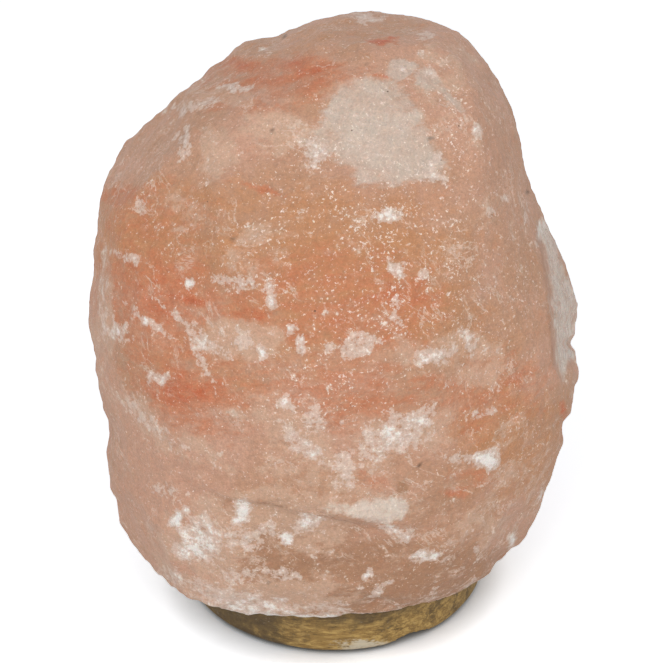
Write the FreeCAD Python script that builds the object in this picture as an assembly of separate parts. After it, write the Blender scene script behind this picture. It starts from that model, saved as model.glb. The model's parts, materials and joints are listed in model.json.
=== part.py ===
"""Salt crystal lamp: a hewn block of rock salt, drilled out from below, on a round wooden base.

A sprung lampholder with a small pear bulb is pushed up through the base into the drilled hollow.
The base is held to the salt by long screws in plugs, and stands on four stuck-on pads.
The frame is +Z up, with its origin on the table under the middle of the base. The front faces -Y.
Everything is in millimetres. Each piece is written to parts/NAME.step.
"""

import FreeCAD
import Part

import math
import os

Vector = FreeCAD.Vector
UP = Vector(0, 0, 1)
BACKWARDS = Vector(0, 1, 0)
OVERCUT = 1.0  # how far a cut runs past the face that it opens

# ---- gaps between pieces ----
FIT_GAP = 0.05  # round pieces that seat in a hole
SLIP_GAP = 0.15  # pieces that slide or turn past each other

# ---- wooden base and what is under it ----
PAD_DIAMETER = 12.0
PAD_THICKNESS = 1.5
PAD_CIRCLE_RADIUS = 45.5
PAD_ANGLES = (45.0, 135.0, 225.0, 315.0)

BASE_DIAMETER = 120.0
BASE_THICKNESS = 20.0
BASE_TOP_ROUND = 1.5
BASE_FOOT_BEVEL = 1.2
HOLDER_HOLE_DIAMETER = 42.0
CORD_GROOVE_WIDTH = 9.0
CORD_GROOVE_HEIGHT = 8.0

# a shallow arch broken out of the base's lower edge, front right
CHIP_ANGLE = -61.0
CHIP_WIDTH = 20.0
CHIP_HEIGHT = 2.6
CHIP_REACH = 5.0

# ---- screws and plugs that hold the base to the salt ----
SCREW_ANGLES = (30.0, 150.0, 270.0)
SCREW_CIRCLE_RADIUS = 40.0
SCREW_SHANK_DIAMETER = 5.0
SCREW_ROOT_DIAMETER = 3.6
SCREW_PITCH = 2.4
SCREW_THREAD_TURNS = 11
SCREW_TIP_LENGTH = 5.0
SCREW_HEAD_DIAMETER = 10.0
SCREW_HEAD_HEIGHT = 3.0
SCREW_LENGTH = 50.0
SCREW_RECESS = 2.5
SCREW_SLOT_WIDTH = 1.1
SCREW_SLOT_LENGTH = 6.0
SCREW_SLOT_DEPTH = 1.9
SCREW_HOLE_GAP = 0.3
PLUG_DIAMETER = 8.0
PLUG_LENGTH = 38.0
PLUG_HOLE_SPARE = 1.0

# ---- salt crystal ----
HOLLOW_DIAMETER = 52.0
HOLLOW_DEPTH = 97.0
SALT_HEIGHT = 206.5
SALT_WIDTH = 187.0
# Horizontal sections through the block, from its sawn foot upwards. Each holds the share of the salt's
# height, then its reach to the right, right back, back, left back, left, left front, front and right
# front. The reaches are in proportion to one another, and the widest section is scaled to SALT_WIDTH.
SALT_SECTIONS = (
    (0.00, 67.0, 62.0, 60.0, 64.0, 69.0, 73.0, 67.0, 69.0),
    (0.05, 79.5, 74.0, 70.0, 77.0, 82.0, 86.0, 76.0, 77.0),
    (0.14, 86.0, 83.0, 78.0, 84.0, 88.5, 90.0, 81.0, 83.0),
    (0.28, 92.0, 87.0, 82.0, 86.0, 90.0, 89.0, 84.0, 87.0),
    (0.42, 94.0, 89.0, 83.0, 87.0, 93.0, 89.0, 84.0, 88.0),
    (0.56, 87.5, 84.0, 81.0, 84.0, 91.0, 87.0, 82.0, 84.0),
    (0.70, 73.0, 74.0, 75.0, 78.0, 85.0, 81.0, 75.0, 75.0),
    (0.82, 66.0, 66.0, 66.0, 65.0, 71.5, 67.0, 62.0, 67.0),
    (0.91, 57.0, 56.0, 52.0, 46.0, 43.5, 45.0, 46.0, 58.0),
    (0.97, 47.0, 42.0, 33.0, 22.0, 17.5, 21.0, 29.0, 44.0),
    (1.00, 33.0, 25.0, 13.0, 6.0, 3.0, 7.0, 14.0, 27.0),
)
# Flat faces where the block was split and hewn. Each holds the compass angle that it faces, its tilt above
# the horizon, and its distance from the block's middle, to the same scale as the sections.
SALT_MIDDLE_SHARE = 0.5
SALT_FACES = (
    (262.0, 38.0, 84.5),
    (288.0, 30.0, 84.5),
    (195.0, 42.0, 92.0),
    (345.0, 20.0, 83.5),
    (345.0, 8.0, 86.5),
    (268.0, -25.0, 104.5),
    (215.0, -12.0, 100.5),
    (320.0, -15.0, 98.5),
    (165.0, 12.0, 88.0),
    (75.0, 22.0, 83.0),
    (60.0, -10.0, 90.5),
    (110.0, -14.0, 92.0),
    (20.0, 40.0, 98.5),
    (292.0, 52.0, 98.0),
    (240.0, 14.0, 84.0),
    (303.0, 8.0, 82.0),
    (246.0, -8.0, 93.5),
    (230.0, 30.0, 88.0),
    (120.0, 30.0, 86.0),
    (92.0, 0.0, 82.5),
    (128.0, 4.0, 82.0),
    (38.0, 10.0, 85.5),
    (148.0, -8.0, 92.0),
    (80.0, -22.0, 97.5),
    (50.0, 33.0, 91.0),
    (155.0, 45.0, 92.5),
    (100.0, 47.0, 95.5),
)
# The soft ledge low in front, below which the block steps back: its face as in SALT_FACES, the height of
# the ledge at the face's middle, and how far it falls to the right, in degrees.
SALT_LEDGE_FACE = (267.0, -5.0, 83.5)
SALT_LEDGE_HEIGHT = 78.0
SALT_LEDGE_FALL = 10.0

# ---- lampholder ----
HOLDER_CLEARANCE = 6.5  # table to the lower end of the nipple
NIPPLE_DIAMETER = 10.0
NIPPLE_BORE = 7.0
NIPPLE_LENGTH = 15.0
NIPPLE_PROJECTION = 1.0
NUT_ACROSS_FLATS = 14.0
NUT_THICKNESS = 3.0

CLIP_THICKNESS = 0.6
CLIP_WIDTH = 12.0
CLIP_STAND_HEIGHT = 3.0
CLIP_BULGE_HEIGHT = 8.0
CLIP_TOP_HEIGHT = 23.0
CLIP_LIP_HEIGHT = 26.0
CLIP_LIP_TURN = 1.6
CLIP_WALL_GAP = 0.3

HOLDER_DIAMETER = 28.0
CAP_HEIGHT = 15.0
CAP_FLOOR = 2.5
CAP_WALL = 1.8
SPIGOT_WALL = 2.1
SPIGOT_HEIGHT = 6.0
SHELL_WALL = 1.15
SHELL_LENGTH = 38.0
SHELL_LIP = 2.0
SHELL_MOUTH_GAP = 0.5

CORE_GAP = 0.45  # all round the core, inside the shell
CORE_THICKNESS = 9.0
CORE_ROOF = 1.2
SLEEVE_WALL = 0.4
SLEEVE_HEIGHT = 16.5
SLEEVE_FLOOR_HOLE = 9.0

BUTTON_DIAMETER = 4.0
BUTTON_PROJECTION = 1.0
BUTTON_TRAVEL = 1.5
SHOULDER_DIAMETER = 5.8
SHOULDER_THICKNESS = 0.8
PLUNGER_STEM_DIAMETER = 2.6
PLUNGER_STEM_LENGTH = 2.4
SPRING_WIRE = 0.5
SPRING_TURNS = 4.0
QUARTERS = 4

STRIP_THICKNESS = 0.8
STRIP_WIDTH = 7.4
TERMINAL_SPACING = 0.85  # from the plunger's well to a terminal
TERMINAL_GAP = 0.95  # from a terminal's strip to the spigot's bore
TERMINAL_WIDTH = 7.0
TERMINAL_HEIGHT = 6.4
TERMINAL_WIRE_HOLE = 2.6
TERMINAL_POST_DIAMETER = 2.0
CLAMP_SCREW_DIAMETER = 3.0
CLAMP_SCREW_HEAD = 4.4
CLAMP_SCREW_HEAD_HEIGHT = 1.8
CLAMP_SCREW_SLOT = 0.8

# ---- bulb, small screw cap ----
THREAD_PITCH = 2.82
THREAD_TURNS = 4
THREAD_DIAMETER = 13.9
THREAD_DEPTH = 0.65
BULB_LENGTH = 58.0
BULB_DIAMETER = 28.0
BULB_NECK_DIAMETER = 11.2
BULB_GLASS_WALL = 0.7
BULB_NECK_HEIGHT = 9.5
BULB_SHOULDER_HEIGHT = 20.5
BULB_WAIST_HEIGHT = 31.5
BULB_WAIST_SHARE = 0.82
TIP_DIAMETER = 4.8
TIP_HEIGHT = 1.2
INSULATOR_HEIGHT = 2.8
INSULATOR_TIP_DIAMETER = 6.4
CAP_METAL = 0.3
CAP_SKIRT_DIAMETER = 16.2
CAP_SKIRT_HEIGHT = 4.0
CAP_FLARE_HEIGHT = 1.2
CAP_THREAD_MARGIN = 0.5
CEMENT_HEIGHT = 2.4
STEM_DIAMETER = 4.4
STEM_FLARE_HEIGHT = 1.2
STEM_NECK_HEIGHT = 3.6
STEM_TOP_HEIGHT = 27.0
LEAD_DIAMETER = 0.5
LEAD_SPACING = 2.0
LEAD_TAIL = 1.5
FILAMENT_HEIGHT = 38.5
FILAMENT_SPAN = 13.0
FILAMENT_BOW = 3.0
FILAMENT_DIAMETER = 0.7
SUPPORT_DIAMETER = 0.35

# ---- levels worked out from the sizes above ----
base_underside = PAD_THICKNESS
base_top = base_underside + BASE_THICKNESS
base_radius = BASE_DIAMETER / 2
hollow_top = base_top + HOLLOW_DEPTH
nut_level = HOLDER_CLEARANCE + NIPPLE_PROJECTION
clip_level = nut_level + NUT_THICKNESS
cap_level = clip_level + CLIP_THICKNESS
shell_level = cap_level + CAP_HEIGHT
core_level = shell_level + SPIGOT_HEIGHT
core_top = core_level + CORE_THICKNESS
bulb_tip = core_top + BUTTON_PROJECTION + FIT_GAP
holder_radius = HOLDER_DIAMETER / 2
shell_bore = HOLDER_DIAMETER - 2 * SHELL_WALL
spigot_diameter = shell_bore - 2 * SLIP_GAP
spigot_bore = spigot_diameter - 2 * SPIGOT_WALL
sleeve_diameter = THREAD_DIAMETER + 2 * (SLIP_GAP + THREAD_DEPTH + SLEEVE_WALL)
well_diameter = SHOULDER_DIAMETER + 2 * SLIP_GAP
terminal_near = well_diameter / 2 + TERMINAL_SPACING
terminal_far = math.sqrt((spigot_bore / 2 - TERMINAL_GAP) ** 2 - STRIP_WIDTH**2 / 4)
terminal_length = terminal_far - terminal_near
terminal_offset = (terminal_far + terminal_near) / 2
salt_scale = SALT_WIDTH / max(section[1] + section[5] for section in SALT_SECTIONS)


# ---- helpers ----
def polar(radius, angle, height=0.0):
    """The point at a compass angle in degrees, anticlockwise from +X."""
    turn = math.radians(angle)
    return Vector(radius * math.cos(turn), radius * math.sin(turn), height)


def rod(diameter, low, high, centre=Vector(0, 0, 0)):
    """An upright round bar between two heights."""
    return Part.makeCylinder(diameter / 2, high - low, Vector(centre.x, centre.y, low), UP)


def ring(outer, inner, low, high):
    """An upright tube about the lamp's axis, given by its two diameters and two heights."""
    return rod(outer, low, high).cut(rod(inner, low - OVERCUT, high + OVERCUT))


def block(length, width, low, high, x=0.0, y=0.0):
    """An upright box centred over (x, y)."""
    return Part.makeBox(length, width, high - low, Vector(x - length / 2, y - width / 2, low))


def turned(points):
    """A solid of revolution about Z from (radius, height) points. A point of three values ends an arc:
    it holds the arc's end, then the point that the arc passes through as a pair."""
    edges = []
    here = Vector(points[0][0], 0, points[0][1])
    for point in list(points[1:]) + [points[0][:2]]:
        there = Vector(point[0], 0, point[1])
        if len(point) > 2:
            edges.append(Part.Arc(here, Vector(point[2][0], 0, point[2][1]), there).toShape())
        elif here.distanceToPoint(there) > 1e-6:
            edges.append(Part.makeLine(here, there))
        here = there
    face = Part.Face(Part.Wire(edges))
    return face.revolve(Vector(0, 0, 0), UP, 360)


def rolled_thread(outer, depth, low, turns):
    """Points for turned() up a rolled lamp thread: a crest and a root, both round, in each pitch."""
    crest, root = outer / 2, outer / 2 - depth
    middle = (crest + root) / 2
    points = [(middle, low)]
    for turn in range(turns):
        start = low + turn * THREAD_PITCH
        points.append((middle, start + THREAD_PITCH / 2, (crest, start + THREAD_PITCH / 4)))
        points.append((middle, start + THREAD_PITCH, (root, start + THREAD_PITCH * 3 / 4)))
    return points


def group(solids):
    """Several separate solids kept in one node."""
    return Part.makeCompound(solids)


# ---- base ----
def wood_base():
    """A turned disc with a rounded top edge, a bevelled foot, the holder's hole and the cord's groove."""
    rounding_middle = BASE_TOP_ROUND * (1 - math.sqrt(0.5))
    disc = turned([
        (0.0, base_underside),
        (base_radius - BASE_FOOT_BEVEL, base_underside),
        (base_radius, base_underside + BASE_FOOT_BEVEL),
        (base_radius, base_top - BASE_TOP_ROUND),
        (base_radius - BASE_TOP_ROUND, base_top, (base_radius - rounding_middle, base_top - rounding_middle)),
        (0.0, base_top),
    ])
    disc = disc.cut(rod(HOLDER_HOLE_DIAMETER, base_underside - OVERCUT, base_top + OVERCUT))
    groove_ceiling = base_underside + CORD_GROOVE_HEIGHT
    groove_length = base_radius + OVERCUT
    groove_floor = base_underside - OVERCUT
    groove = block(CORD_GROOVE_WIDTH, groove_length, groove_floor, groove_ceiling, y=groove_length / 2)
    disc = disc.cut(groove)
    arch_radius = (CHIP_WIDTH**2 / 4 + CHIP_HEIGHT**2) / (2 * CHIP_HEIGHT)
    arch_centre = polar(base_radius - CHIP_REACH, CHIP_ANGLE, base_underside + CHIP_HEIGHT - arch_radius)
    arch = Part.makeCylinder(arch_radius, 2 * CHIP_REACH, arch_centre, polar(1, CHIP_ANGLE))
    disc = disc.cut(arch)
    for angle in SCREW_ANGLES:
        centre = polar(SCREW_CIRCLE_RADIUS, angle)
        seat = base_underside + SCREW_RECESS
        head_hole = SCREW_HEAD_DIAMETER + 2 * SCREW_HOLE_GAP
        shank_hole = SCREW_SHANK_DIAMETER + 2 * SCREW_HOLE_GAP
        disc = disc.cut(rod(head_hole, base_underside - OVERCUT, seat, centre))
        apex = centre + UP * seat
        disc = disc.cut(Part.makeCone(head_hole / 2, shank_hole / 2, SCREW_HEAD_HEIGHT, apex))
        disc = disc.cut(rod(shank_hole, seat, base_top + OVERCUT, centre))
    return disc


def foot_pads():
    """Four round rubber pads stuck under the base."""
    centres = [polar(PAD_CIRCLE_RADIUS, angle) for angle in PAD_ANGLES]
    return group([rod(PAD_DIAMETER, 0, base_underside, centre) for centre in centres])


def one_base_screw(angle):
    """A countersunk wood screw, driven upwards, with its thread as rings and a cross slot in its head."""
    seat = base_underside + SCREW_RECESS
    tip = seat + SCREW_LENGTH
    thread_start = tip - SCREW_TIP_LENGTH - SCREW_THREAD_TURNS * SCREW_PITCH
    shank, root = SCREW_SHANK_DIAMETER / 2, SCREW_ROOT_DIAMETER / 2
    head = [(0.0, seat), (SCREW_HEAD_DIAMETER / 2, seat), (shank, seat + SCREW_HEAD_HEIGHT)]
    outline = head + [(shank, thread_start)]
    for turn in range(SCREW_THREAD_TURNS):
        start = thread_start + turn * SCREW_PITCH
        outline.append((root, start + SCREW_PITCH / 3))
        outline.append((root, start + SCREW_PITCH * 2 / 3))
        outline.append((shank, start + SCREW_PITCH))
    outline.append((0.0, tip))
    screw = turned(outline)
    slot_roof = seat + SCREW_SLOT_DEPTH
    for length, width in ((SCREW_SLOT_LENGTH, SCREW_SLOT_WIDTH), (SCREW_SLOT_WIDTH, SCREW_SLOT_LENGTH)):
        screw = screw.cut(block(length, width, seat - OVERCUT, slot_roof))
    screw.translate(polar(SCREW_CIRCLE_RADIUS, angle))
    return screw


def base_screws():
    """The three long screws that hold the base to the salt."""
    return group([one_base_screw(angle) for angle in SCREW_ANGLES])


def wall_plugs():
    """Nylon plugs in the salt's drilled holes, which the base screws bite in."""
    plugs = []
    for angle in SCREW_ANGLES:
        centre = polar(SCREW_CIRCLE_RADIUS, angle)
        plug_end = base_top + PLUG_LENGTH
        bore = rod(SCREW_SHANK_DIAMETER + 2 * FIT_GAP, base_top - OVERCUT, plug_end + OVERCUT, centre)
        plugs.append(rod(PLUG_DIAMETER, base_top, plug_end, centre).cut(bore))
    return group(plugs)


# ---- salt crystal ----
def salt_section(share, *reaches):
    """The closed outline of one horizontal section, through its reaches at even compass angles."""
    height = base_top + share * SALT_HEIGHT
    step = 360 / len(reaches)
    points = [polar(reach * salt_scale, number * step, height) for number, reach in enumerate(reaches)]
    outline = Part.BSplineCurve()
    outline.interpolate(Points=points, PeriodicFlag=True)
    return Part.Wire([outline.toShape()])


def split_face(angle, tilt, distance):
    """The waste beyond one flat split face, as a box to cut away."""
    side = 3 * SALT_HEIGHT
    waste = Part.makeBox(side, side, side, Vector(-side / 2, -side / 2, 0))
    facing = polar(math.cos(math.radians(tilt)), angle, math.sin(math.radians(tilt)))
    middle = Vector(0, 0, base_top + SALT_MIDDLE_SHARE * SALT_HEIGHT)
    face_point = middle + facing * distance * salt_scale
    waste.Placement = FreeCAD.Placement(face_point, FreeCAD.Rotation(UP, facing))
    return waste


def ledge_face():
    """The waste below the ledge: the part of a split face's waste that lies under a sloping level."""
    angle = SALT_LEDGE_FACE[0]
    side = 3 * SALT_HEIGHT
    level = Part.makeBox(side, side, side, Vector(-side / 2, -side / 2, -side))
    fall = FreeCAD.Rotation(polar(1, angle), -SALT_LEDGE_FALL)
    level.Placement = FreeCAD.Placement(Vector(0, 0, SALT_LEDGE_HEIGHT), fall)
    return split_face(*SALT_LEDGE_FACE).common(level)


def salt_crystal():
    """The rounded block with its split faces and ledge, drilled for the bulb and the plugs."""
    sections = [salt_section(*section) for section in SALT_SECTIONS]
    salt = Part.makeLoft(sections, True, False).Solids[0]
    for face in SALT_FACES:
        salt = salt.cut(split_face(*face))
    salt = salt.cut(ledge_face())
    salt = salt.cut(rod(HOLLOW_DIAMETER, base_top - OVERCUT, hollow_top))
    for angle in SCREW_ANGLES:
        hole_end = base_top + PLUG_LENGTH + PLUG_HOLE_SPARE
        centre = polar(SCREW_CIRCLE_RADIUS, angle)
        salt = salt.cut(rod(PLUG_DIAMETER + 2 * FIT_GAP, base_top - OVERCUT, hole_end, centre))
    return salt


# ---- lampholder ----
def cord_nipple():
    """The threaded tube that the cord comes in through."""
    return ring(NIPPLE_DIAMETER, NIPPLE_BORE, HOLDER_CLEARANCE, HOLDER_CLEARANCE + NIPPLE_LENGTH)


def nipple_hole(low, high):
    """The clearance hole that the nipple takes through a piece between two heights."""
    return rod(NIPPLE_DIAMETER + 2 * FIT_GAP, low - OVERCUT, high + OVERCUT)


def lock_nut():
    """The six-sided nut that clamps the clip to the holder's cap."""
    corner = NUT_ACROSS_FLATS / 2 / math.cos(math.radians(30))
    corners = [polar(corner, 60 * step, nut_level) for step in range(6)]
    outline = Part.makePolygon(corners + [corners[0]])
    nut = Part.Face(outline).extrude(Vector(0, 0, NUT_THICKNESS))
    return nut.cut(nipple_hole(nut_level, clip_level))


def clip_arm_outline():
    """The right half of the clip's centreline, as (x, height) points from the middle outwards."""
    hole_radius = HOLDER_HOLE_DIAMETER / 2
    reach = math.sqrt(hole_radius**2 - CLIP_WIDTH**2 / 4) - CLIP_WALL_GAP
    beside = holder_radius + SLIP_GAP + CLIP_THICKNESS / 2
    middle = clip_level + CLIP_THICKNESS / 2
    return [
        (0.0, middle),
        (beside, middle),
        (beside, middle + CLIP_STAND_HEIGHT),
        (reach - CLIP_THICKNESS / 2, middle + CLIP_BULGE_HEIGHT),
        (beside + CLIP_THICKNESS, middle + CLIP_TOP_HEIGHT),
        (beside + CLIP_THICKNESS + CLIP_LIP_TURN, middle + CLIP_LIP_HEIGHT),
    ]


def clip_spring():
    """One strip of spring steel: a flat middle under the holder and two arms that grip the base's hole."""
    right = clip_arm_outline()
    line = [(-x, height) for x, height in reversed(right[1:])] + right
    half = CLIP_THICKNESS / 2
    outer, inner = [], []
    for number, (x, height) in enumerate(line):
        before = line[max(number - 1, 0)]
        after = line[min(number + 1, len(line) - 1)]
        into = (x - before[0], height - before[1]) if number else (after[0] - x, after[1] - height)
        out = (after[0] - x, after[1] - height) if number < len(line) - 1 else into
        first = math.atan2(into[1], into[0])
        last = math.atan2(out[1], out[0])
        bend = math.atan2(math.sin(last - first), math.cos(last - first))
        normal = first + bend / 2 + math.pi / 2
        offset = half / math.cos(bend / 2)
        outer.append(Vector(x - offset * math.cos(normal), 0, height - offset * math.sin(normal)))
        inner.append(Vector(x + offset * math.cos(normal), 0, height + offset * math.sin(normal)))
    loop = outer + inner[::-1]
    strip = Part.Face(Part.makePolygon(loop + [loop[0]])).extrude(Vector(0, CLIP_WIDTH, 0))
    strip.translate(Vector(0, -CLIP_WIDTH / 2, 0))
    return strip.cut(nipple_hole(clip_level, cap_level))


def holder_cap():
    """The holder's lower cup, with the nipple's hole and a spigot that the shell screws on."""
    cap = rod(HOLDER_DIAMETER, cap_level, shell_level)
    cap = cap.fuse(rod(spigot_diameter, shell_level, core_level))
    cap = cap.cut(rod(HOLDER_DIAMETER - 2 * CAP_WALL, cap_level + CAP_FLOOR, shell_level - CAP_WALL))
    cap = cap.cut(rod(spigot_bore, shell_level - CAP_WALL - OVERCUT, core_level + OVERCUT))
    return cap.cut(nipple_hole(cap_level, cap_level + CAP_FLOOR))


def holder_shell():
    """The holder's upper tube, open at the top for the bulb's cap."""
    shell_top = shell_level + SHELL_LENGTH
    mouth = CAP_SKIRT_DIAMETER + 2 * SHELL_MOUTH_GAP
    shell = rod(HOLDER_DIAMETER, shell_level, shell_top)
    shell = shell.cut(rod(shell_bore, shell_level - OVERCUT, shell_top - SHELL_LIP))
    return shell.cut(rod(mouth, shell_top - SHELL_LIP - OVERCUT, shell_top + OVERCUT))


def holder_core():
    """The insulating disc that carries the contacts, with a well for the sprung plunger."""
    core = rod(shell_bore - 2 * CORE_GAP, core_level, core_top)
    core = core.cut(rod(well_diameter, core_level - OVERCUT, core_top - CORE_ROOF))
    core = core.cut(rod(BUTTON_DIAMETER + 2 * SLIP_GAP, core_level, core_top + OVERCUT))
    post = Vector(terminal_offset, 0, 0)
    return core.cut(rod(TERMINAL_POST_DIAMETER + 2 * FIT_GAP, core_level - OVERCUT, core_top + OVERCUT, post))


def screw_sleeve():
    """The thin metal sleeve that the bulb's cap screws into, with rolled rings and an in-turned floor."""
    outer = sleeve_diameter / 2
    low, high = core_top + SLEEVE_WALL * 2, core_top + SLEEVE_HEIGHT
    rings = int((high - low) / THREAD_PITCH)
    outside = rolled_thread(sleeve_diameter, THREAD_DEPTH, low, rings)
    inside = rolled_thread(sleeve_diameter - 2 * SLEEVE_WALL, THREAD_DEPTH, low, rings)
    sleeve = turned([(0.0, core_top), (outer, core_top)] + outside + [(outer, high), (0.0, high)])
    well = turned(
        [(0.0, core_top + SLEEVE_WALL), (outer - SLEEVE_WALL, core_top + SLEEVE_WALL)]
        + inside
        + [(outer - SLEEVE_WALL, high + OVERCUT), (0.0, high + OVERCUT)]
    )
    sleeve = sleeve.cut(well)
    return sleeve.cut(rod(SLEEVE_FLOOR_HOLE, core_top - OVERCUT, core_top + OVERCUT))


def shoulder_top():
    """The height of the plunger's shoulder while the bulb holds it down."""
    return core_top - CORE_ROOF - BUTTON_TRAVEL - FIT_GAP


def contact_plunger():
    """The sprung centre contact: a button, a shoulder under the core's roof and a stem in the spring."""
    top = shoulder_top()
    plunger = rod(BUTTON_DIAMETER, top, core_top + BUTTON_PROJECTION)
    plunger = plunger.fuse(rod(SHOULDER_DIAMETER, top - SHOULDER_THICKNESS, top))
    return plunger.fuse(rod(PLUNGER_STEM_DIAMETER, top - SHOULDER_THICKNESS - PLUNGER_STEM_LENGTH, top))


def tangent_arc(start, corner, end):
    """The arc from start to end whose tangents meet at the corner, which is as far from each."""
    middle = (start + end) / 2
    chord, rise = end - start, corner - middle
    turn = math.atan2(rise.Length, chord.Length / 2)
    crown = middle + rise * (math.tan(turn / 2) / math.tan(turn))
    return Part.Arc(start, crown, end).toShape()


def coil_line(radius, low, high, turns):
    """The centreline of a coil about Z, as pairs of tangent arcs, a pair to each quarter turn."""
    steps = int(round(turns * QUARTERS))
    climb = (high - low) / (2 * math.pi * turns)
    edges = []
    for step in range(steps):
        ends, tangents = [], []
        for quarter in (step, step + 1):
            turn = math.pi / 2 * quarter
            ends.append(Vector(radius * math.cos(turn), radius * math.sin(turn), low + climb * turn))
            tangents.append(Vector(-radius * math.sin(turn), radius * math.cos(turn), climb).normalize())
        span, both = ends[1] - ends[0], tangents[0] + tangents[1]
        spread = 2 * (1 - tangents[0].dot(tangents[1]))
        reach = (math.sqrt(span.dot(both) ** 2 + spread * span.dot(span)) - span.dot(both)) / spread
        corners = [ends[0] + tangents[0] * reach, ends[1] - tangents[1] * reach]
        joint = (corners[0] + corners[1]) / 2
        edges.append(tangent_arc(ends[0], corners[0], joint))
        edges.append(tangent_arc(joint, corners[1], ends[1]))
    return Part.Wire(edges)


def contact_spring():
    """The coil that pushes the plunger up, seated on the live strip."""
    radius = (SHOULDER_DIAMETER - SPRING_WIRE) / 2
    low = core_level + SPRING_WIRE / 2 + FIT_GAP
    high = shoulder_top() - SHOULDER_THICKNESS - SPRING_WIRE / 2 - FIT_GAP
    line = coil_line(radius, low, high, SPRING_TURNS)
    start = Part.Circle(Vector(radius, 0, low), BACKWARDS, SPRING_WIRE / 2)
    return line.makePipeShell([Part.Wire(start.toShape())], True)


def terminal_body(x):
    """A brass block under the core with a hole across it for the wire and one below for its screw."""
    low = core_level - STRIP_THICKNESS - TERMINAL_HEIGHT
    high = core_level - STRIP_THICKNESS
    body = block(terminal_length, TERMINAL_WIDTH, low, high, x=x)
    middle = (low + high) / 2
    hole_start = Vector(x, -TERMINAL_WIDTH, middle)
    wire_hole = Part.makeCylinder(TERMINAL_WIRE_HOLE / 2, 2 * TERMINAL_WIDTH, hole_start, BACKWARDS)
    screw_hole = rod(CLAMP_SCREW_DIAMETER + 2 * FIT_GAP, low - OVERCUT, middle, Vector(x, 0, 0))
    return body.cut(wire_hole).cut(screw_hole)


def live_terminal():
    """The left terminal, with the strip that closes the plunger's well and carries its spring."""
    reach = well_diameter / 2
    length = terminal_offset + terminal_length / 2 + reach
    strip = block(length, STRIP_WIDTH, core_level - STRIP_THICKNESS, core_level, x=reach - length / 2)
    return terminal_body(-terminal_offset).fuse(strip)


def neutral_terminal():
    """The right terminal, with the post that reaches up through the core to the sleeve's floor."""
    strip = block(terminal_length, STRIP_WIDTH, core_level - STRIP_THICKNESS, core_level, x=terminal_offset)
    post = rod(TERMINAL_POST_DIAMETER, core_level - STRIP_THICKNESS, core_top, Vector(terminal_offset, 0, 0))
    return terminal_body(terminal_offset).fuse(strip).fuse(post)


def terminal_screws():
    """The two small screws that clamp the wires in the terminals."""
    low = core_level - STRIP_THICKNESS - TERMINAL_HEIGHT
    screws = []
    for x in (-terminal_offset, terminal_offset):
        centre = Vector(x, 0, 0)
        head_low = low - CLAMP_SCREW_HEAD_HEIGHT
        shank_top = low + TERMINAL_HEIGHT / 2 - TERMINAL_WIRE_HOLE / 2
        screw = rod(CLAMP_SCREW_HEAD, head_low, low, centre)
        screw = screw.fuse(rod(CLAMP_SCREW_DIAMETER, low, shank_top, centre))
        slot_roof = head_low + CLAMP_SCREW_HEAD_HEIGHT / 2
        slot = block(CLAMP_SCREW_HEAD + OVERCUT, CLAMP_SCREW_SLOT, head_low - OVERCUT, slot_roof, x=x)
        screws.append(screw.cut(slot))
    return group(screws)


# ---- bulb ----
def bulb_contact():
    """The solder button at the bulb's lower tip."""
    radius, low = TIP_DIAMETER / 2, bulb_tip
    curl = TIP_HEIGHT / 2
    curl_middle = curl * (1 - math.sqrt(0.5))
    return turned([
        (0.0, low),
        (radius - curl, low),
        (radius, low + curl, (radius - curl_middle, low + curl_middle)),
        (radius, low + TIP_HEIGHT),
        (0.0, low + TIP_HEIGHT),
    ])


def thread_level():
    """The height where the bulb's metal cap begins."""
    return bulb_tip + TIP_HEIGHT + INSULATOR_HEIGHT


def cap_bore_radius():
    """The reach of what fits inside the cap's thread."""
    return THREAD_DIAMETER / 2 - THREAD_DEPTH - CAP_METAL - FIT_GAP


def lead_hole(low, high, x):
    """The hole that one lead wire takes through a piece between two heights."""
    return rod(LEAD_DIAMETER + 2 * FIT_GAP, low - OVERCUT, high + OVERCUT, Vector(x, 0, 0))


def bulb_insulator():
    """The dark glass cone between the button and the threaded cap, with a hole for the live wire."""
    low = bulb_tip + TIP_HEIGHT
    high = thread_level()
    cone = turned([(0.0, low), (INSULATOR_TIP_DIAMETER / 2, low), (cap_bore_radius(), high), (0.0, high)])
    return cone.cut(lead_hole(low, high, 0.0))


def skirt_level():
    """The height where the bulb's thread ends and its plain skirt begins."""
    return thread_level() + THREAD_TURNS * THREAD_PITCH + 2 * CAP_THREAD_MARGIN


def bulb_cap():
    """The bulb's thin metal cap: rolled thread below, plain skirt above."""
    low, skirt = thread_level(), skirt_level()
    top = skirt + CAP_SKIRT_HEIGHT
    root, lip = THREAD_DIAMETER / 2 - THREAD_DEPTH, CAP_SKIRT_DIAMETER / 2
    outside = rolled_thread(THREAD_DIAMETER, THREAD_DEPTH, low + CAP_THREAD_MARGIN, THREAD_TURNS)
    flare = skirt + CAP_FLARE_HEIGHT
    cap = turned([(0.0, low), (root, low)] + outside + [(root, skirt), (lip, flare), (lip, top), (0.0, top)])
    well = turned([
        (0.0, low - OVERCUT),
        (root - CAP_METAL, low - OVERCUT),
        (root - CAP_METAL, skirt),
        (lip - CAP_METAL, flare),
        (lip - CAP_METAL, top + OVERCUT),
        (0.0, top + OVERCUT),
    ])
    return cap.cut(well)


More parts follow.
